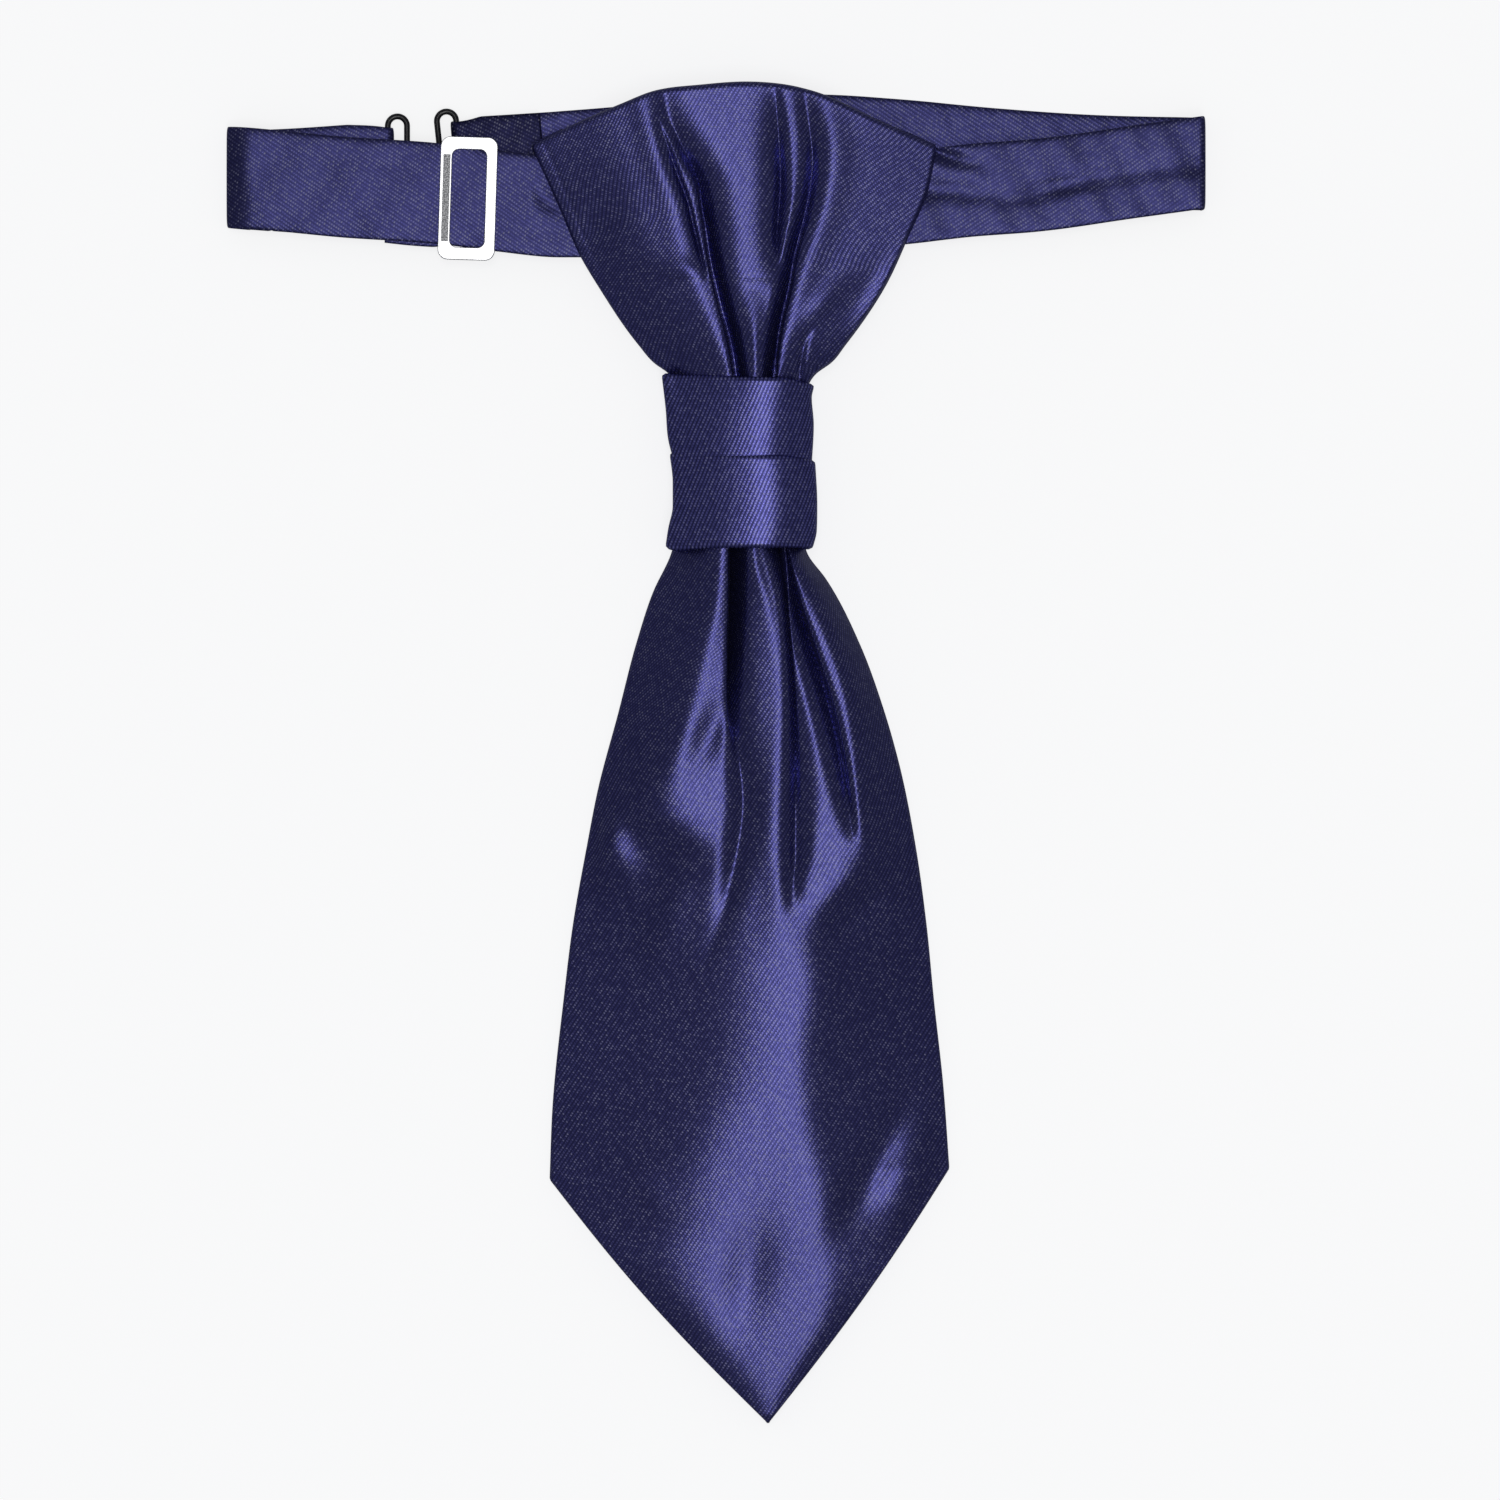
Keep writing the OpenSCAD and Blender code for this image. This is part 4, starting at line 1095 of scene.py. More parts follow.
# %% Shape of the knot band
BAND_T = 0.35          # thickness of the band
KNOT_TOP = box_mm("knot_band_lower")[1][2] - BAND_T
KNOT_MID = KNOT_TOP / 2
BACK_LIFT = 0.45       # the back of the band, above the floor
BAND_EDGE = 0.45       # how far its edges are rounded
TURN_H = 18            # height of one turn
HEM_IN = 1.5           # depth of the turned edge
ROUNDNESS = 0.62       # 1 gives an oval, less gives a fuller section


def band_outline(count, half_left, half_right, top, bottom, crest):
    """Points once round the knot, from the back seam, as x and z. crest is where the front is highest."""
    angle = np.linspace(0, 2 * math.pi, count, endpoint=False) - math.pi / 2
    cos, sin = np.cos(angle), np.sin(angle)
    half = np.where(cos < 0, half_left, half_right)
    x = np.sign(cos) * np.abs(cos) ** ROUNDNESS * half
    z_up = np.sign(sin) * np.abs(sin) ** ROUNDNESS
    middle = (top + bottom) / 2
    z = middle + z_up * (top - bottom) / 2
    # the front falls away from its crest, gently on the left and sooner on the right
    lean = np.where(x < crest, 0.0105, 0.028) * (x - crest) ** 2
    z = np.where(z_up > 0, z - lean * z_up ** 2, z)
    return x, z


def band(name, y_top, y_bottom, half_left, half_right, proud, crest, rows=34, columns=180):
    """One turn of the band, with its edges rounded and turned in. proud lifts its front."""
    turned_in = [(HEM_IN / TURN_H, 2 * BAND_EDGE), (0.0, 2 * BAND_EDGE)]
    lines = list(turned_in)
    for t in spread(rows, 0.5):
        near_edge = min(1, min(t, 1 - t) * TURN_H / BAND_EDGE)
        lines.append((t, BAND_EDGE * (1 - math.sqrt(max(0.0, 1 - (1 - near_edge) ** 2)))))
    lines += [(1.0, 2 * BAND_EDGE), (1 - HEM_IN / TURN_H, 2 * BAND_EDGE)]
    points = []
    for t, inward in lines:
        left, right = half_left(t) - inward, half_right(t) - inward
        x, z = band_outline(columns, left, right, KNOT_TOP + proud - inward, BACK_LIFT + inward, crest(t))
        y_up = y_top(x)
        y_down = y_bottom(x)
        y = y_up + (y_down - y_up) * t
        points.append(np.column_stack([x, y, z]))
    points = np.array(points)
    step = np.linalg.norm(np.diff(np.concatenate([points, points[:, :1]], axis=1), axis=1), axis=2)
    around = np.concatenate([np.zeros((len(points), 1)), np.cumsum(step, axis=1)], axis=1)
    around = around[:, columns // 2][:, None] - around
    up = np.concatenate([points[:, :, 1], points[:, :1, 1]], axis=1)
    piece = sheet_mesh(name, points, weave=np.dstack([around, up]), tube=True, flip=True)
    thicken(piece, BAND_T)
    return piece


knot_crest = curve([(0, 8.0), (0.5, 6.0), (1, 4.6)])
upper_left = curve([(0, 15.5), (0.4, 14.7), (0.75, 14.2), (1, 13.1)])
upper_right = curve([(0, 14.3), (0.15, 13.8), (0.5, 14.2), (1, 13.8)])
upper_top = curve([(-15.5, 17.3), (-10.4, 16.9), (-5.6, 16.8), (-0.9, 16.5), (8.7, 16.2), (13.5, 15.2)])
upper_bottom = curve([(-15, 0.2), (15, -0.6)])
knot_upper = band("knot_upper_turn", upper_top, upper_bottom, upper_left, upper_right, -0.35, knot_crest)
finish_piece(knot_upper, knot_satin, "cravat", ["knot_band_upper"])
lower_left = curve([(0, 13.9), (0.3, 13.3), (0.55, 13.3), (0.8, 14.2), (1, 14.75)])
lower_right = curve([(0, 14.5), (0.5, 14.9), (0.8, 14.8), (1, 14.0)])
lower_top = curve([(-14, 1.6), (-8, 1.2), (0, 0.9), (8, 0.8), (14.5, -0.1)])
lower_bottom = curve([
    (-14.6, -17.1), (-12.5, -17.5), (-8.5, -17.2), (-4.7, -17.05), (3.9, -17.1), (10.6, -16.95),
    (14, -17.2),
])
lower_crest = curve([(0, 6.4), (0.5, 6.6), (1, 5.0)])
knot_lower = band("knot_lower_turn", lower_top, lower_bottom, lower_left, lower_right, 0.2, lower_crest)
finish_piece(knot_lower, knot_satin, "cravat", ["knot_band_lower"])


# %% The gathered cloth inside the knot
def gathered_core():
    columns, rows = 150, 40
    angle = np.linspace(0, 2 * math.pi, columns, endpoint=False) - math.pi / 2
    points = []
    ends = [(-15.0, 0.05), (-15.0, 0.6)]
    ends += [(y, 1.0) for y in np.linspace(-14.6, 14.6, rows)]
    ends += [(15.0, 0.6), (15.0, 0.05)]
    for y, size in ends:
        pleat = 0.35 * np.sin(angle * 17 + y * 0.05) + 0.2 * np.sin(angle * 29 + 1.3)
        x = np.sign(np.cos(angle)) * np.abs(np.cos(angle)) ** ROUNDNESS * (11.6 + pleat) * size
        z = KNOT_MID - 0.6 + np.sign(np.sin(angle)) * np.abs(np.sin(angle)) ** ROUNDNESS * (4.3
            + pleat) * size
        points.append(np.column_stack([x, np.full(columns, y), z]))
    piece = sheet_mesh("knot_gathered_cloth", np.array(points), weave=None, tube=True)
    return piece


core = gathered_core()
finish_piece(core, fan_satin, "cravat", ["gathered_neck"])

# %% Thread wound round the gathers
def wound_thread(turns=7, thickness=0.5):
    steps = 90
    points = []
    binding_low, binding_high = box_mm("neck_binding")
    middle_y = (binding_low[1] + binding_high[1]) / 2
    for k in range(turns * steps + 1):
        a = 2 * math.pi * k / steps
        y = middle_y + (k / (turns * steps) - 0.5) * turns * thickness * 1.02
        cos, sin = math.cos(a), math.sin(a)
        x = math.copysign(abs(cos) ** 0.62, cos) * (11.9 + thickness / 2)
        z = KNOT_MID - 0.6 + math.copysign(abs(sin) ** 0.62, sin) * (4.6 + thickness / 2)
        out = Vector((cos / 12, 0, sin / 4.6)).normalized()
        ring = [
            Vector((x, y, z)) + thickness / 2 * (math.cos(b) * out + math.sin(b) * Vector((0, 1, 0)))
            for b in (2 * math.pi * s / 8 for s in range(8))
        ]
        points.append([tuple(v) for v in ring])
    points = [[tuple(np.mean(points[0], axis=0))] * 8] + points + [[tuple(np.mean(points[-1], axis=0))] * 8]
    return sheet_mesh("knot_wound_thread", np.array(points), tube=True)


binding = wound_thread()
finish_piece(binding, white_thread, "cravat", ["neck_binding"])

# %% Hand stitches along the back of the knot
back_spots = []
for y in np.arange(-15.5, 15.5, 2.3):
    if abs(y - 0.4) > 1.0:
        back_spots.append(((-6.9, y, 0.2), (-5.3, y + 0.9, 0.2), (0, 0, -1)))
back_seam = stitches("knot_back_stitches", back_spots, 0.2)
finish_piece(back_seam, navy_thread, "cravat", ["knot_seam_stitches"])


# %% [markdown]
# ## The neck strap
# The strap is a flat tube of satin pressed over a tape. It lies folded: the front run goes
# through the fan's casing, turns at each side and comes back behind. Each side is one sheet
# that follows a path of runs and half turns.

# %% Paths of runs and half turns
def run(a, b, count):
    """Points from a to b, without the last. Each point is x, middle y, z and the half width."""
    a, b = np.array(a, float), np.array(b, float)
    return [a + (b - a) * t for t in np.linspace(0, 1, count, endpoint=False)]


def half_turn(centre_x, y_at, z_top, z_bottom, bulge, half_width, count, down=True):
    """A half turn between two heights that bulges by the given distance in x."""
    points = []
    middle, radius = (z_top + z_bottom) / 2, (z_top - z_bottom) / 2
    for a in np.linspace(0, math.pi, count, endpoint=False):
        x = centre_x + math.sin(a) * bulge
        z = middle + math.cos(a) * radius * (1 if down else -1)
        points.append(np.array([x, y_at(x), z, half_width]))
    return points


def strap_sheet(name, path, thickness, wave=None, lean=None, columns=22, margin=0.0):
    """A closed flat tube of cloth along a path. wave lifts it, and lean turns its rows near an end."""
    path = np.array(path)
    run_xz = path[:, [0, 2]]
    tangent = np.gradient(run_xz, axis=0)
    tangent /= np.linalg.norm(tangent, axis=1)[:, None]
    step = np.linalg.norm(np.diff(path[:, :3], axis=0), axis=1)
    length = np.concatenate([[0], np.cumsum(step)])
    across = np.sin(np.linspace(-math.pi / 2, math.pi / 2, columns))
    rows, weave = [], []
    for k, (x, y, z, half) in enumerate(path):
        half -= margin
        normal = np.array([-tangent[k][1], 0, tangent[k][0]])
        turned = 0.0 if lean is None else math.radians(lean(x, z))
        side = np.array([-math.sin(turned), math.cos(turned), 0])
        puff = np.sqrt(np.clip(1 - np.abs(across) ** 14, 0, 1)) * (1 + 0.12 * (1 - across ** 2))
        row, marks = [], []
        for face in (1, -1):
            order = range(columns) if face > 0 else range(columns - 2, 0, -1)
            for c in order:
                base = np.array([x, y, z]) + side * across[c] * half
                up = wave(base[0], base[1], z) if wave else 0.0
                row.append(base + normal * face * thickness / 2 * puff[c] + np.array([0, 0, up]))
                marks.append((across[c] * half + (0 if face > 0 else 31), length[k]))
        rows.append(row)
        weave.append(marks)
    rows, weave = np.array(rows), np.array(weave)
    wrap = weave[:, :1].copy()
    wrap[:, :, 0] = weave[:, -1:, 0]
    ends = [rows[0].mean(axis=0), rows[-1].mean(axis=0)]
    rows = np.concatenate([[np.tile(ends[0], (rows.shape[1], 1))], rows,
                           [np.tile(ends[1], (rows.shape[1], 1))]])
    weave = np.concatenate([weave[:1], weave, weave[-1:]])
    wrap = np.concatenate([wrap[:1], wrap, wrap[-1:]])
    piece = sheet_mesh(name, rows, weave=np.concatenate([weave, wrap], axis=1), tube=True, flip=True)
    only(piece)
    bpy.ops.object.mode_set(mode="EDIT")
    bpy.ops.mesh.select_all(action="SELECT")
    bpy.ops.mesh.remove_doubles(threshold=1e-7)
    bpy.ops.mesh.normals_make_consistent(inside=False)
    bpy.ops.object.mode_set(mode="OBJECT")
    return piece, length[-1]


# %% Levels of the strap's layers
fold_high = box_mm("left_fold")[1]
right_low = box_mm("right_fold")[0]
STRAP_T = 0.6
FRONT_Z = fold_high[2] - STRAP_T / 2
BACK_Z = STRAP_T / 2
eye_low, eye_high = box_mm("eye")
WIRE_Z = (eye_low[2] + eye_high[2]) / 2
EYE_X = eye_low[0] + (eye_high[2] - eye_low[2]) / 2
TURN_R = 0.95
INNER_BACK_Z = WIRE_Z + TURN_R
INNER_FRONT_Z = 3.1
left_x = fold_high[0]
right_x = right_low[0]

front_left_y = curve([
    (left_x - 3, 57.1), (left_x, 56.9), (-80, 55.0), (-60, 53.6), (-49, 52.2), (-36, 51.0), (0, 51.6),
])
back_left_y = curve([(left_x - 3, 57.0), (left_x, 57.0), (EYE_X, 58.6)])
front_right_y = curve([(0, 51.6), (33, 52.8), (45, 54.2), (60, 55.4), (80, 58.2), (right_x + 3, 60.0)])
back_right_y = curve([
    (-57, 59.9), (-39, 61.0), (0, 64.0), (14, 64.6), (32, 63.6), (50, 61.9), (70, 60.5),
    (right_x + 3, 59.9),
])


# %% Soft waves in the strap
def valley(points, width, depth):
    """A dent along a crooked line: points are (x, y), and depth may be (x, depth) points."""
    line = curve(points)
    amount = curve(depth)

    def at(x, y):
        return -amount(x) * np.exp(-(np.abs((y - line(x)) / width) ** 1.3))

    return at


right_dents = [
    valley([(50, 51.8), (58, 53.6), (63, 55.0), (70, 56.6), (78, 58.0), (93, 59.6)], 1.3,
           [(48, 0.0), (56, 0.5), (66, 1.0), (76, 0.6), (84, 0.6), (93, 0.9)]),
    valley([(38, 62.4), (45, 60.2), (52, 59.6)], 1.1, [(38, 1.2), (43, 0.9), (50, 0.0)]),
    valley([(38, 54.6), (48, 53.8)], 1.6, [(38, 0.9), (46, 0.7), (54, 0.0)]),
]
left_dents = [
    valley([
        (-100, 60.0), (-80, 61.0), (-62, 57.0),
    ], 1.8, [(-97, 0.0), (-93, 0.08), (-88, 0.05), (-68, 0.08), (-60, 0.0)]),
    valley([(-46, 55.5), (-36, 51.0)], 1.4, [(-42, 0.0), (-39, 0.6), (-36, 0.5)]),
    valley([(-100, 50.4), (-70, 47.0), (-60, 46.0)], 1.5, [(-100, 0.05), (-80, 0.06), (-60, 0.05)]),
]


def crumple(x, y, size):
    """Soft unevenness of pressed cloth."""
    return size * (math.sin(0.31 * x + 0.22 * y) + 0.7 * math.sin(0.47 * x - 0.36 * y + 1.7) + 0.4
                   * math.sin(0.9 * x + 0.5 * y))


def pucker(x, y):
    """The small puckers that the stitching makes behind the hook."""
    near = float(smoothstep(-58, -54, x) * (1 - smoothstep(-38, -30, x)))
    folds = math.sin(1.3 * x + 0.5 * y) * math.cos(0.9 * y - 0.5 * x) + 0.6 * math.sin(0.8 * x - 1.1 * y
        + 1.0)
    return 0.05 * near * (1.6 + folds)


def right_wave(x, y, z):
    front = float(smoothstep(FRONT_Z - 1.2, FRONT_Z - 0.05, z))
    up = front * (crumple(x, y, 0.08) + sum(float(d(x, y)) for d in right_dents)) if front else 0.0
    back = 0.0 if z > INNER_BACK_Z + 0.1 or abs(z - 1.25) < 0.9 and x > HOOK_X + 2 else 1.0
    return up + back * (pucker(x, y) + abs(crumple(x, y, 0.05)))


def left_wave(x, y, z):
    front = float(smoothstep(FRONT_Z - 1.2, FRONT_Z - 0.05, z))
    return front * (crumple(x, y, 0.05) + sum(float(d(x, y)) for d in left_dents)) if front else 0.0


# %% The left side of the strap
def level_run(x0, x1, z, half, y_at, count):
    xs = np.linspace(x0, x1, count, endpoint=False)
    return [np.array([x, float(y_at(x)), z, half]) for x in xs]


LEFT_HALF, RIGHT_HALF, LOOP_HALF = 10.1, 9.3, 8.5
FOLD_RUN = 4.8
widen = curve([(EYE_X - 9, LEFT_HALF - 0.4), (EYE_X - 1.5, LOOP_HALF + 0.3), (EYE_X, LOOP_HALF)])
left_turn = left_x + 2.4
left_path = level_run(-8, left_turn, FRONT_Z, LEFT_HALF, front_left_y, 190)
left_path += half_turn(left_turn, front_left_y, FRONT_Z, BACK_Z, -4.9, LEFT_HALF, 22)
left_path += [np.array([x, float(back_left_y(x)), BACK_Z, float(widen(x))]) for x in np.linspace(left_turn,
    EYE_X, 70)[:-1]]
left_path += half_turn(EYE_X, back_left_y, INNER_BACK_Z, BACK_Z, TURN_R, LOOP_HALF, 10, down=False)
left_path += [
    np.array([x, float(back_left_y(x)), INNER_BACK_Z, min(float(widen(x)), LEFT_HALF - 0.5)])
    for x in np.linspace(EYE_X, left_x + 1.2 + FOLD_RUN, 60)
]
strap_left, strap_left_length = strap_sheet("neck_strap_left", left_path, STRAP_T, wave=left_wave)
finish_piece(strap_left, strap_satin, replaces=["front_strap", "left_fold", "left_back_strap"])
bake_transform(strap_left)

# %% The right side of the strap
HOOK_X = -56.2
TAIL_END = -39.4
HOOK_LEAN = 6.0
narrow = curve([(HOOK_X, LOOP_HALF), (HOOK_X + 2.2, LOOP_HALF + 0.2), (HOOK_X + 5, RIGHT_HALF)])


def right_lean(x, z):
    return HOOK_LEAN * float(1 - smoothstep(HOOK_X + 16, HOOK_X + 40, x)) if z < FRONT_Z - 1 else 0.0


right_turn = right_x + 1.9
right_path = level_run(-4, right_turn, FRONT_Z, RIGHT_HALF, front_right_y, 190)
right_path += half_turn(right_turn, front_right_y, FRONT_Z, BACK_Z, 0.6, RIGHT_HALF, 20)
right_path += [np.array([x, float(back_right_y(x)), BACK_Z,
                         float(narrow(x))]) for x in np.linspace(right_turn, HOOK_X, 260)[:-1]]
tail_path = half_turn(HOOK_X, back_right_y, INNER_BACK_Z, BACK_Z, -TURN_R, LOOP_HALF, 10, down=False)
tail_path += [
    np.array([x, float(back_right_y(x)), INNER_BACK_Z, float(narrow(x)) - 0.2])
    for x in np.linspace(HOOK_X, TAIL_END, 40)
]
strap_right, strap_right_length = strap_sheet("neck_strap_right", right_path, STRAP_T, wave=right_wave,
                                              lean=right_lean)
finish_piece(strap_right, strap_satin, replaces=["right_fold", "right_back_strap"])
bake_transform(strap_right)
# the end that is turned over the hook is a rougher copy of the strap's satin, painted much darker: painted
# shade
strap_tail, strap_tail_length = strap_sheet("hook_strap_tail", tail_path, STRAP_T, wave=right_wave,
                                            lean=right_lean)
finish_piece(strap_tail, shaded_strap_satin, "right_back", ["right_back_strap"])

# %% Tape inside the strap
TAPE_T = 0.2
TAPE_INSET = 1.2       # how far its edges lie inside the half width of its path


def tape(name, path, node, body, wave=None):
    piece, length = strap_sheet(name, path, TAPE_T, margin=TAPE_INSET, wave=wave)
    finish_piece(piece, tape_cloth, body, [node])


def both_front_y(x):
    return front_left_y(x) if x < 0 else front_right_y(x)


def both_waves(x, y, z):
    return left_wave(x, y, z) if x < 0 else right_wave(x, y, z)


tape("strap_tape_front", level_run(left_x + 2, right_x - 2, FRONT_Z, 9.2, both_front_y, 260),
     "front_strap_tape", "cravat",
     both_waves)
tape("strap_tape_left_back", level_run(left_x + 2, EYE_X - 5, BACK_Z, 9.2, back_left_y, 30),
     "left_back_strap_tape", "left_back")
tape("strap_tape_right_back", level_run(right_x - 2, HOOK_X + 8, BACK_Z, 9.0, back_right_y, 120),
     "right_back_strap_tape", "right_back")

# %% Inner layer of the strap on the left
inner_x = left_x + 1.2
inner_y = curve([(left_x - 3, 56.4), (-80, 54.6), (-60, 52.8), (-49, 51.4)])
inner_path = level_run(-66.9, inner_x + FOLD_RUN, INNER_FRONT_Z, 9.4, inner_y, 60)
inner_run, inner_length = strap_sheet("neck_strap_inner_run", inner_path, STRAP_T)
finish_piece(inner_run, strap_satin, "cravat", ["inner_strap_front"])
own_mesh(inner_run)

fold_path = level_run(inner_x + FOLD_RUN, inner_x, INNER_FRONT_Z, 9.4, inner_y, 12)
fold_path += half_turn(inner_x, inner_y, INNER_FRONT_Z, INNER_BACK_Z, -0.5, 9.4, 10)
fold_path += level_run(inner_x, inner_x + FOLD_RUN, INNER_BACK_Z, 9.4, inner_y, 12)
inner_fold, inner_fold_length = strap_sheet("neck_strap_inner_fold", fold_path, STRAP_T)
finish_piece(inner_fold, strap_satin, replaces=["left_inner_fold"])
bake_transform(inner_fold)

# %% The end that is sewn round the slider
SLIDER_X = -54.6
tail_y = curve([(-75, 53.9), (-66, 52.9), (-58, 52.4), (-50, 51.9)])
TAIL_Z = 4.55
loop_half = curve([(-72, 9.6), (-62, 9.6), (-58, 8.9), (SLIDER_X, LOOP_HALF)])
loop_path = [np.array([x, float(tail_y(x)), TAIL_Z, float(loop_half(x))]) for x in np.linspace(-71.3,
    SLIDER_X + 0.6, 50)[:-1]]
loop_path += half_turn(SLIDER_X + 0.6, tail_y, TAIL_Z, INNER_FRONT_Z, 0.75, LOOP_HALF, 10)
loop_path += [np.array([x, float(tail_y(x)), INNER_FRONT_Z,
                        LOOP_HALF + 0.2]) for x in np.linspace(SLIDER_X + 0.6, -66.2, 30)]
slider_loop, slider_loop_length = strap_sheet("slider_strap_loop", loop_path, 0.5)
finish_piece(slider_loop, strap_satin, "slider", ["slider_strap_end"])

# %% Stitches of the strap
tail_rows = []
for x in (-42.4, -40.4):
    for k in np.arange(-7.6, 7.7, 1.5):
        y = float(back_right_y(x)) + k
        lean_x = x - math.tan(math.radians(HOOK_LEAN)) * k
        z = INNER_BACK_Z + STRAP_T / 2 + 0.02
        tail_rows.append(((lean_x, y - 0.5, z), (lean_x - 0.1, y + 0.5, z), (0, 0, 1)))
hook_rows = stitches("hook_tail_stitches", tail_rows, 0.26)
finish_piece(hook_rows, navy_thread, "right_back", ["hook_stitches"])
slider_rows = []
for k in np.arange(-7.4, 7.6, 1.5):
    x = SLIDER_X - 4.0
    slider_rows.append(((x, 52.5 + k - 0.5, TAIL_Z + 0.3), (x, 52.5 + k + 0.5, TAIL_Z + 0.3), (0, 0, 1)))
slider_sewing = stitches("slider_tail_stitches", slider_rows, 0.2)
finish_piece(slider_sewing, navy_thread, "slider", ["slider_stitches"])


# %% [markdown]
# ## Metal parts
# The slider is pressed from nickel-plated steel, and its left bar is knurled so that it grips
# the strap. The hook and the eye are lacquered black. The frame already gives the hook and the
# eye their true shapes, so each is copied and its seams are merged, and the hook's sharp edges
# are rounded. The slider is built anew as a rounded plate.

# %% Finishes for metal
def build_edge_wear():
    group = bpy.data.node_groups.new("Rubbed metal", "ShaderNodeTree")
    socket(group, "Scale", "INPUT", value=600.0)
    socket(group, "Smear", "OUTPUT")
    w = Wiring(group)
    given = w.node("NodeGroupInput").outputs
    out = w.node("NodeGroupOutput").inputs
    place = w.node("ShaderNodeTexCoord").outputs["Object"]
    broad = w.noise(place, given["Scale"], detail=4.0, roughness=0.6)
    stretched = w.node("ShaderNodeMapping")
    w.put(stretched.inputs["Vector"], place)
    stretched.inputs["Scale"].default_value = (6000, 500, 3000)
    scratch = w.noise(stretched.outputs[0], 1.0, detail=2.0)
    w.put(out["Smear"], w.math("MULTIPLY_ADD", scratch, 0.5, w.math("MULTIPLY", broad, 0.5)))
    return group


rubbed_group = build_edge_wear()


def metal(name, color, metallic, roughness, spread_rough, coat=0.0):
    material, w, shader = fresh_material(name)
    rubbed = w.node("ShaderNodeGroup", node_tree=rubbed_group)
    smear = rubbed.outputs["Smear"]
    w.put(shader.inputs["Base Color"], w.mix(smear, scaled(color, 0.94), scaled(color, 1.06)))
    w.put(shader.inputs["Roughness"], w.math("MULTIPLY_ADD", smear, spread_rough, roughness))
    shader.inputs["Metallic"].default_value = metallic
    shader.inputs["Coat Weight"].default_value = coat
    shader.inputs["Coat Roughness"].default_value = 0.12
    bump = w.node("ShaderNodeBump")
    bump.inputs["Strength"].default_value = 0.04
    bump.inputs["Distance"].default_value = 0.02 * MM
    w.put(bump.inputs["Height"], smear)
    w.put(shader.inputs["Normal"], bump.outputs[0])
    return material


nickel = metal("Bright nickel", (0.92, 0.92, 0.93), 1.0, 0.24, 0.04)
black_lacquer = metal("Black lacquer", (0.012, 0.011, 0.015), 0.0, 0.22, 0.2, coat=0.6)


def knurled(name, low, high):
    """Metal with fine knurling, with painted shade between its points."""
    material, w, shader = fresh_material(name)
    grain = w.noise(w.node("ShaderNodeTexCoord").outputs["Object"], 3400, 1.0)
    point = w.math("MULTIPLY_ADD", grain, 4.0, -1.5, clamp=True)
    w.put(shader.inputs["Base Color"], w.mix(point, scaled(low, 1), scaled(high, 1)))
    shader.inputs["Metallic"].default_value = 1.0
    shader.inputs["Roughness"].default_value = 0.5
    bump = w.node("ShaderNodeBump")
    bump.inputs["Strength"].default_value = 0.4
    bump.inputs["Distance"].default_value = 0.05 * MM
    w.put(bump.inputs["Height"], point)
    w.put(shader.inputs["Normal"], bump.outputs[0])
    return material


# the darker colour lies between the knurl's points as painted shade
knurled_nickel = knurled("Knurled nickel", (0.34, 0.34, 0.35), (0.95, 0.95, 0.96))


# %% A rounded plate
def rounded_block(name, size, place, corner, edge):
    """A box whose upright edges and then all its rims are rounded. Sizes in millimetres."""
    bpy.ops.object.select_all(action="DESELECT")
    bpy.ops.mesh.primitive_cube_add(size=1, location=(0, 0, 0))
    piece = bpy.context.object
    piece.name = name
    piece.scale = Vector(size) * MM
    bpy.ops.object.transform_apply(scale=True)
    bpy.ops.object.mode_set(mode="EDIT")
    bpy.ops.mesh.select_mode(type="EDGE")
    bpy.ops.mesh.select_all(action="DESELECT")
    form = bmesh.from_edit_mesh(piece.data)
    for one in form.edges:
        ends = one.verts[0].co - one.verts[1].co
        one.select_set(abs(ends.z) > 0.9 * size[2] * MM)
    bmesh.update_edit_mesh(piece.data)
    if corner:
        bpy.ops.mesh.bevel(offset=corner * MM, segments=8)
    bpy.ops.object.mode_set(mode="OBJECT")
    if edge:
        modifier = piece.modifiers.new("rim", "BEVEL")
        modifier.width = edge * MM
        modifier.segments = 2
        modifier.limit_method = "ANGLE"
        modifier.angle_limit = math.radians(50)
        apply_modifiers(piece)
    piece.location = Vector(place) * MM
    only(piece)
    bpy.ops.object.transform_apply(location=True)
    return piece


def joined(pieces, name):
    bpy.ops.object.select_all(action="DESELECT")
    for piece in pieces:
        piece.select_set(True)
    bpy.context.view_layer.objects.active = pieces[0]
    bpy.ops.object.join()
    pieces[0].name = name
    return pieces[0]


# %% The slider: a pressed plate with a window, a knurled bar and a lower bar for the sewn loop
slider_low, slider_high = box_mm("slider")
plate_z = slider_high[2] - 0.5
plate = rounded_block("slider_frame", (11.4, 24.6, 1.0), (0, 0, 0), 2.0, 0)
window = rounded_block("window", (6.9, 19.6, 3.0), (0.1, 0, 0), 1.4, 0)
cut = plate.modifiers.new("window", "BOOLEAN")
cut.object = window
cut.operation = "DIFFERENCE"
cut.solver = "EXACT"
soft_rim = plate.modifiers.new("rim", "BEVEL")
soft_rim.width = 0.14 * MM
soft_rim.segments = 3
soft_rim.limit_method = "ANGLE"
soft_rim.angle_limit = math.radians(50)
apply_modifiers(plate)
bpy.data.objects.remove(window, do_unlink=True)
knurl = rounded_block("slider_knurl", (1.4, 17.4, 0.16), (-4.4, 0, 0.5), 0, 0.05)
bar_drop = plate_z - 3.85
bar = rounded_block("bar", (1.6, 20.4, 0.8), (0, 0, -bar_drop), 0, 0.2)
posts = [rounded_block("post", (1.6, 1.0, bar_drop + 0.6), (0, side * 10.3, -bar_drop / 2), 0,
                       0.15) for side in (-1, 1)]
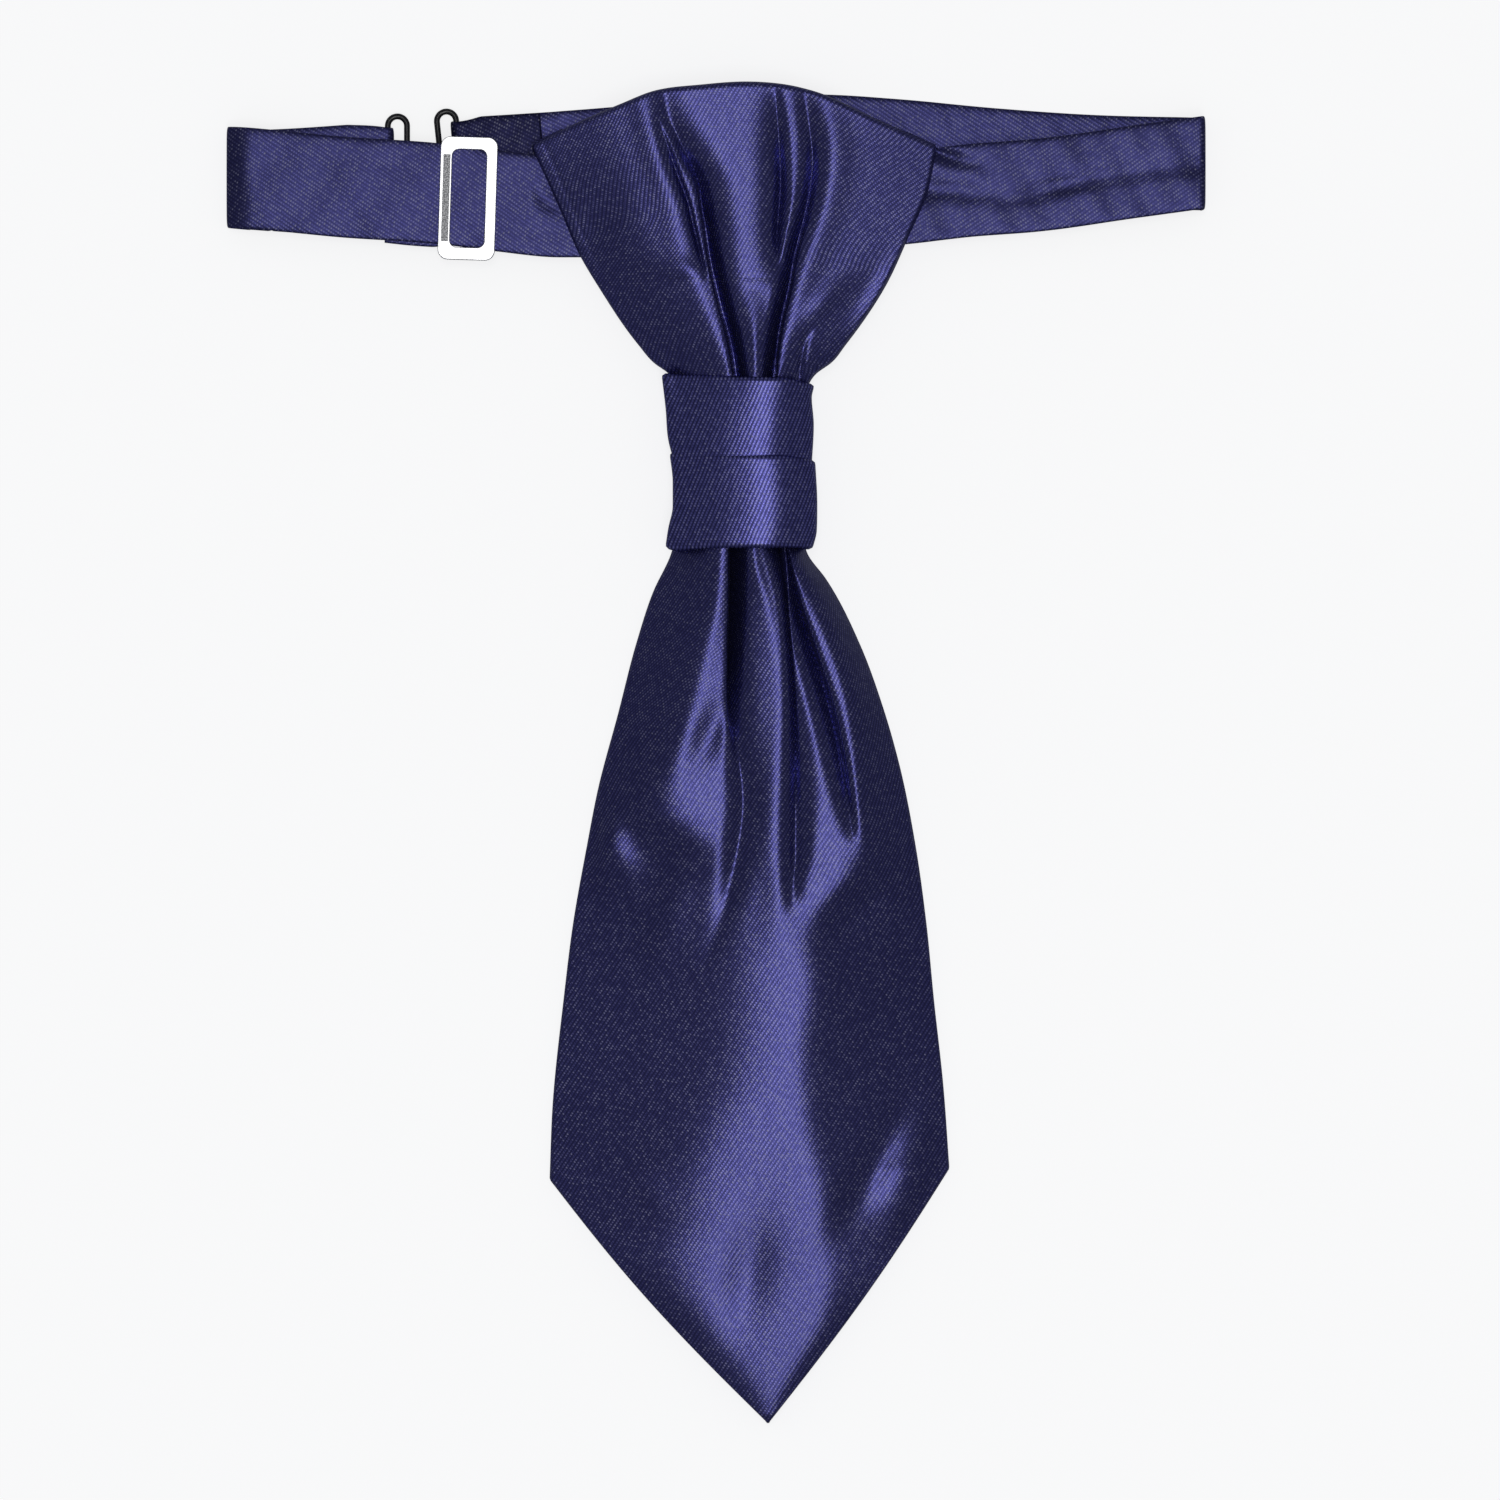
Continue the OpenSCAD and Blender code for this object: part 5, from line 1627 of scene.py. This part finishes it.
slider_frame = joined([plate, bar] + posts, "slider_frame")
for piece in (slider_frame, knurl):
    only(piece)
    bpy.ops.object.transform_apply(location=True, rotation=True)
    piece.rotation_euler.z = math.radians(-1.8)
    piece.location = Vector((SLIDER_X, (slider_low[1] + slider_high[1]) / 2, plate_z)) * MM
    bpy.ops.object.transform_apply(location=True, rotation=True)
    bpy.ops.object.shade_smooth_by_angle(angle=math.radians(12))


# %% Copy a metal part from the frame and round its edges
def rounded_copy(node, name, bevel, angle=35):
    source = bpy.data.objects[node]
    mesh = source.data.copy()
    piece = bpy.data.objects.new(name, mesh)
    bpy.context.collection.objects.link(piece)
    only(piece)
    bpy.ops.object.mode_set(mode="EDIT")
    bpy.ops.mesh.select_all(action="SELECT")
    bpy.ops.mesh.remove_doubles(threshold=2e-6)
    bpy.ops.mesh.dissolve_limited(angle_limit=math.radians(0.5))
    bpy.ops.object.mode_set(mode="OBJECT")
    if bevel:
        edge = piece.modifiers.new("rounded edges", "BEVEL")
        edge.width = bevel * MM
        edge.segments = 3
        edge.limit_method = "ANGLE"
        edge.angle_limit = math.radians(angle)
        apply_modifiers(piece)
    bpy.ops.object.shade_smooth_by_angle(angle=math.radians(40))
    return piece


finish_piece(slider_frame, nickel, "slider", ["slider"])
finish_piece(knurl, knurled_nickel, "slider")
hook_wire = rounded_copy("hook", "hook_wire", 0.06, 60)
finish_piece(hook_wire, black_lacquer, "hook", ["hook"])
eye_wire = rounded_copy("eye", "eye_wire", 0)
finish_piece(eye_wire, black_lacquer, "eye", ["eye"])


# %% [markdown]
# ## Floor, light and camera
# The tie lies on a pale floor. A wide soft light hangs over it, near the camera, so cloth that
# faces the camera glows and cloth that slopes away stays dark: this is what draws the folds.

# %% Floor
bpy.ops.mesh.primitive_plane_add(size=6, location=(0, 0, -0.00005))
floor = bpy.context.object
floor.name = "floor"
floor_material, w, shader = fresh_material("Pale floor")
shader.inputs["Base Color"].default_value = (0.80, 0.80, 0.80, 1)
shader.inputs["Roughness"].default_value = 0.9
shader.inputs["Specular IOR Level"].default_value = 0.0
shader.inputs["Emission Color"].default_value = (1, 1, 1, 1)
shader.inputs["Emission Strength"].default_value = 0.76
floor.data.materials.append(floor_material)
floor.visible_glossy = False
floor.visible_diffuse = False


# %% Lights
def soft_light(name, place, aim, size, size_y, power, color=(1, 1, 1)):
    data = bpy.data.lights.new(name, "AREA")
    data.shape = "RECTANGLE"
    data.size, data.size_y = size, size_y
    data.energy = power
    data.color = color
    lamp = bpy.data.objects.new(name, data)
    bpy.context.collection.objects.link(lamp)
    lamp.location = place
    lamp.rotation_euler = (Vector(aim) - Vector(place)).to_track_quat("-Z", "Y").to_euler()
    return lamp


middle = Vector((0.0018, -0.0576, 0.0))
soft_light("overhead softbox", (0.05, -0.21, 2.2), middle + Vector((0.04, -0.12, 0)), 0.44, 1.6, 5.8)
world = bpy.data.worlds.new("studio")
bpy.context.scene.world = world
world.use_nodes = True
world.node_tree.nodes["Background"].inputs[0].default_value = (0.9, 0.93, 1.0, 1)
world.node_tree.nodes["Background"].inputs[1].default_value = 0.13

# %% Camera, straight above the tie
FRAME_WIDTH = 0.300
LENS = 200.0
SENSOR = 36.0
cloth_level = 0.005
camera_data = bpy.data.cameras.new("camera")
camera_data.lens = LENS
camera_data.sensor_width = SENSOR
camera = bpy.data.objects.new("camera", camera_data)
bpy.context.collection.objects.link(camera)
camera.location = middle + Vector((0, 0, cloth_level + FRAME_WIDTH * LENS / SENSOR))
bpy.context.scene.camera = camera
bpy.context.scene.view_settings.view_transform = "Standard"
bpy.context.scene.view_settings.look = "None"

# %% Finish
bpy.context.view_layer.update()
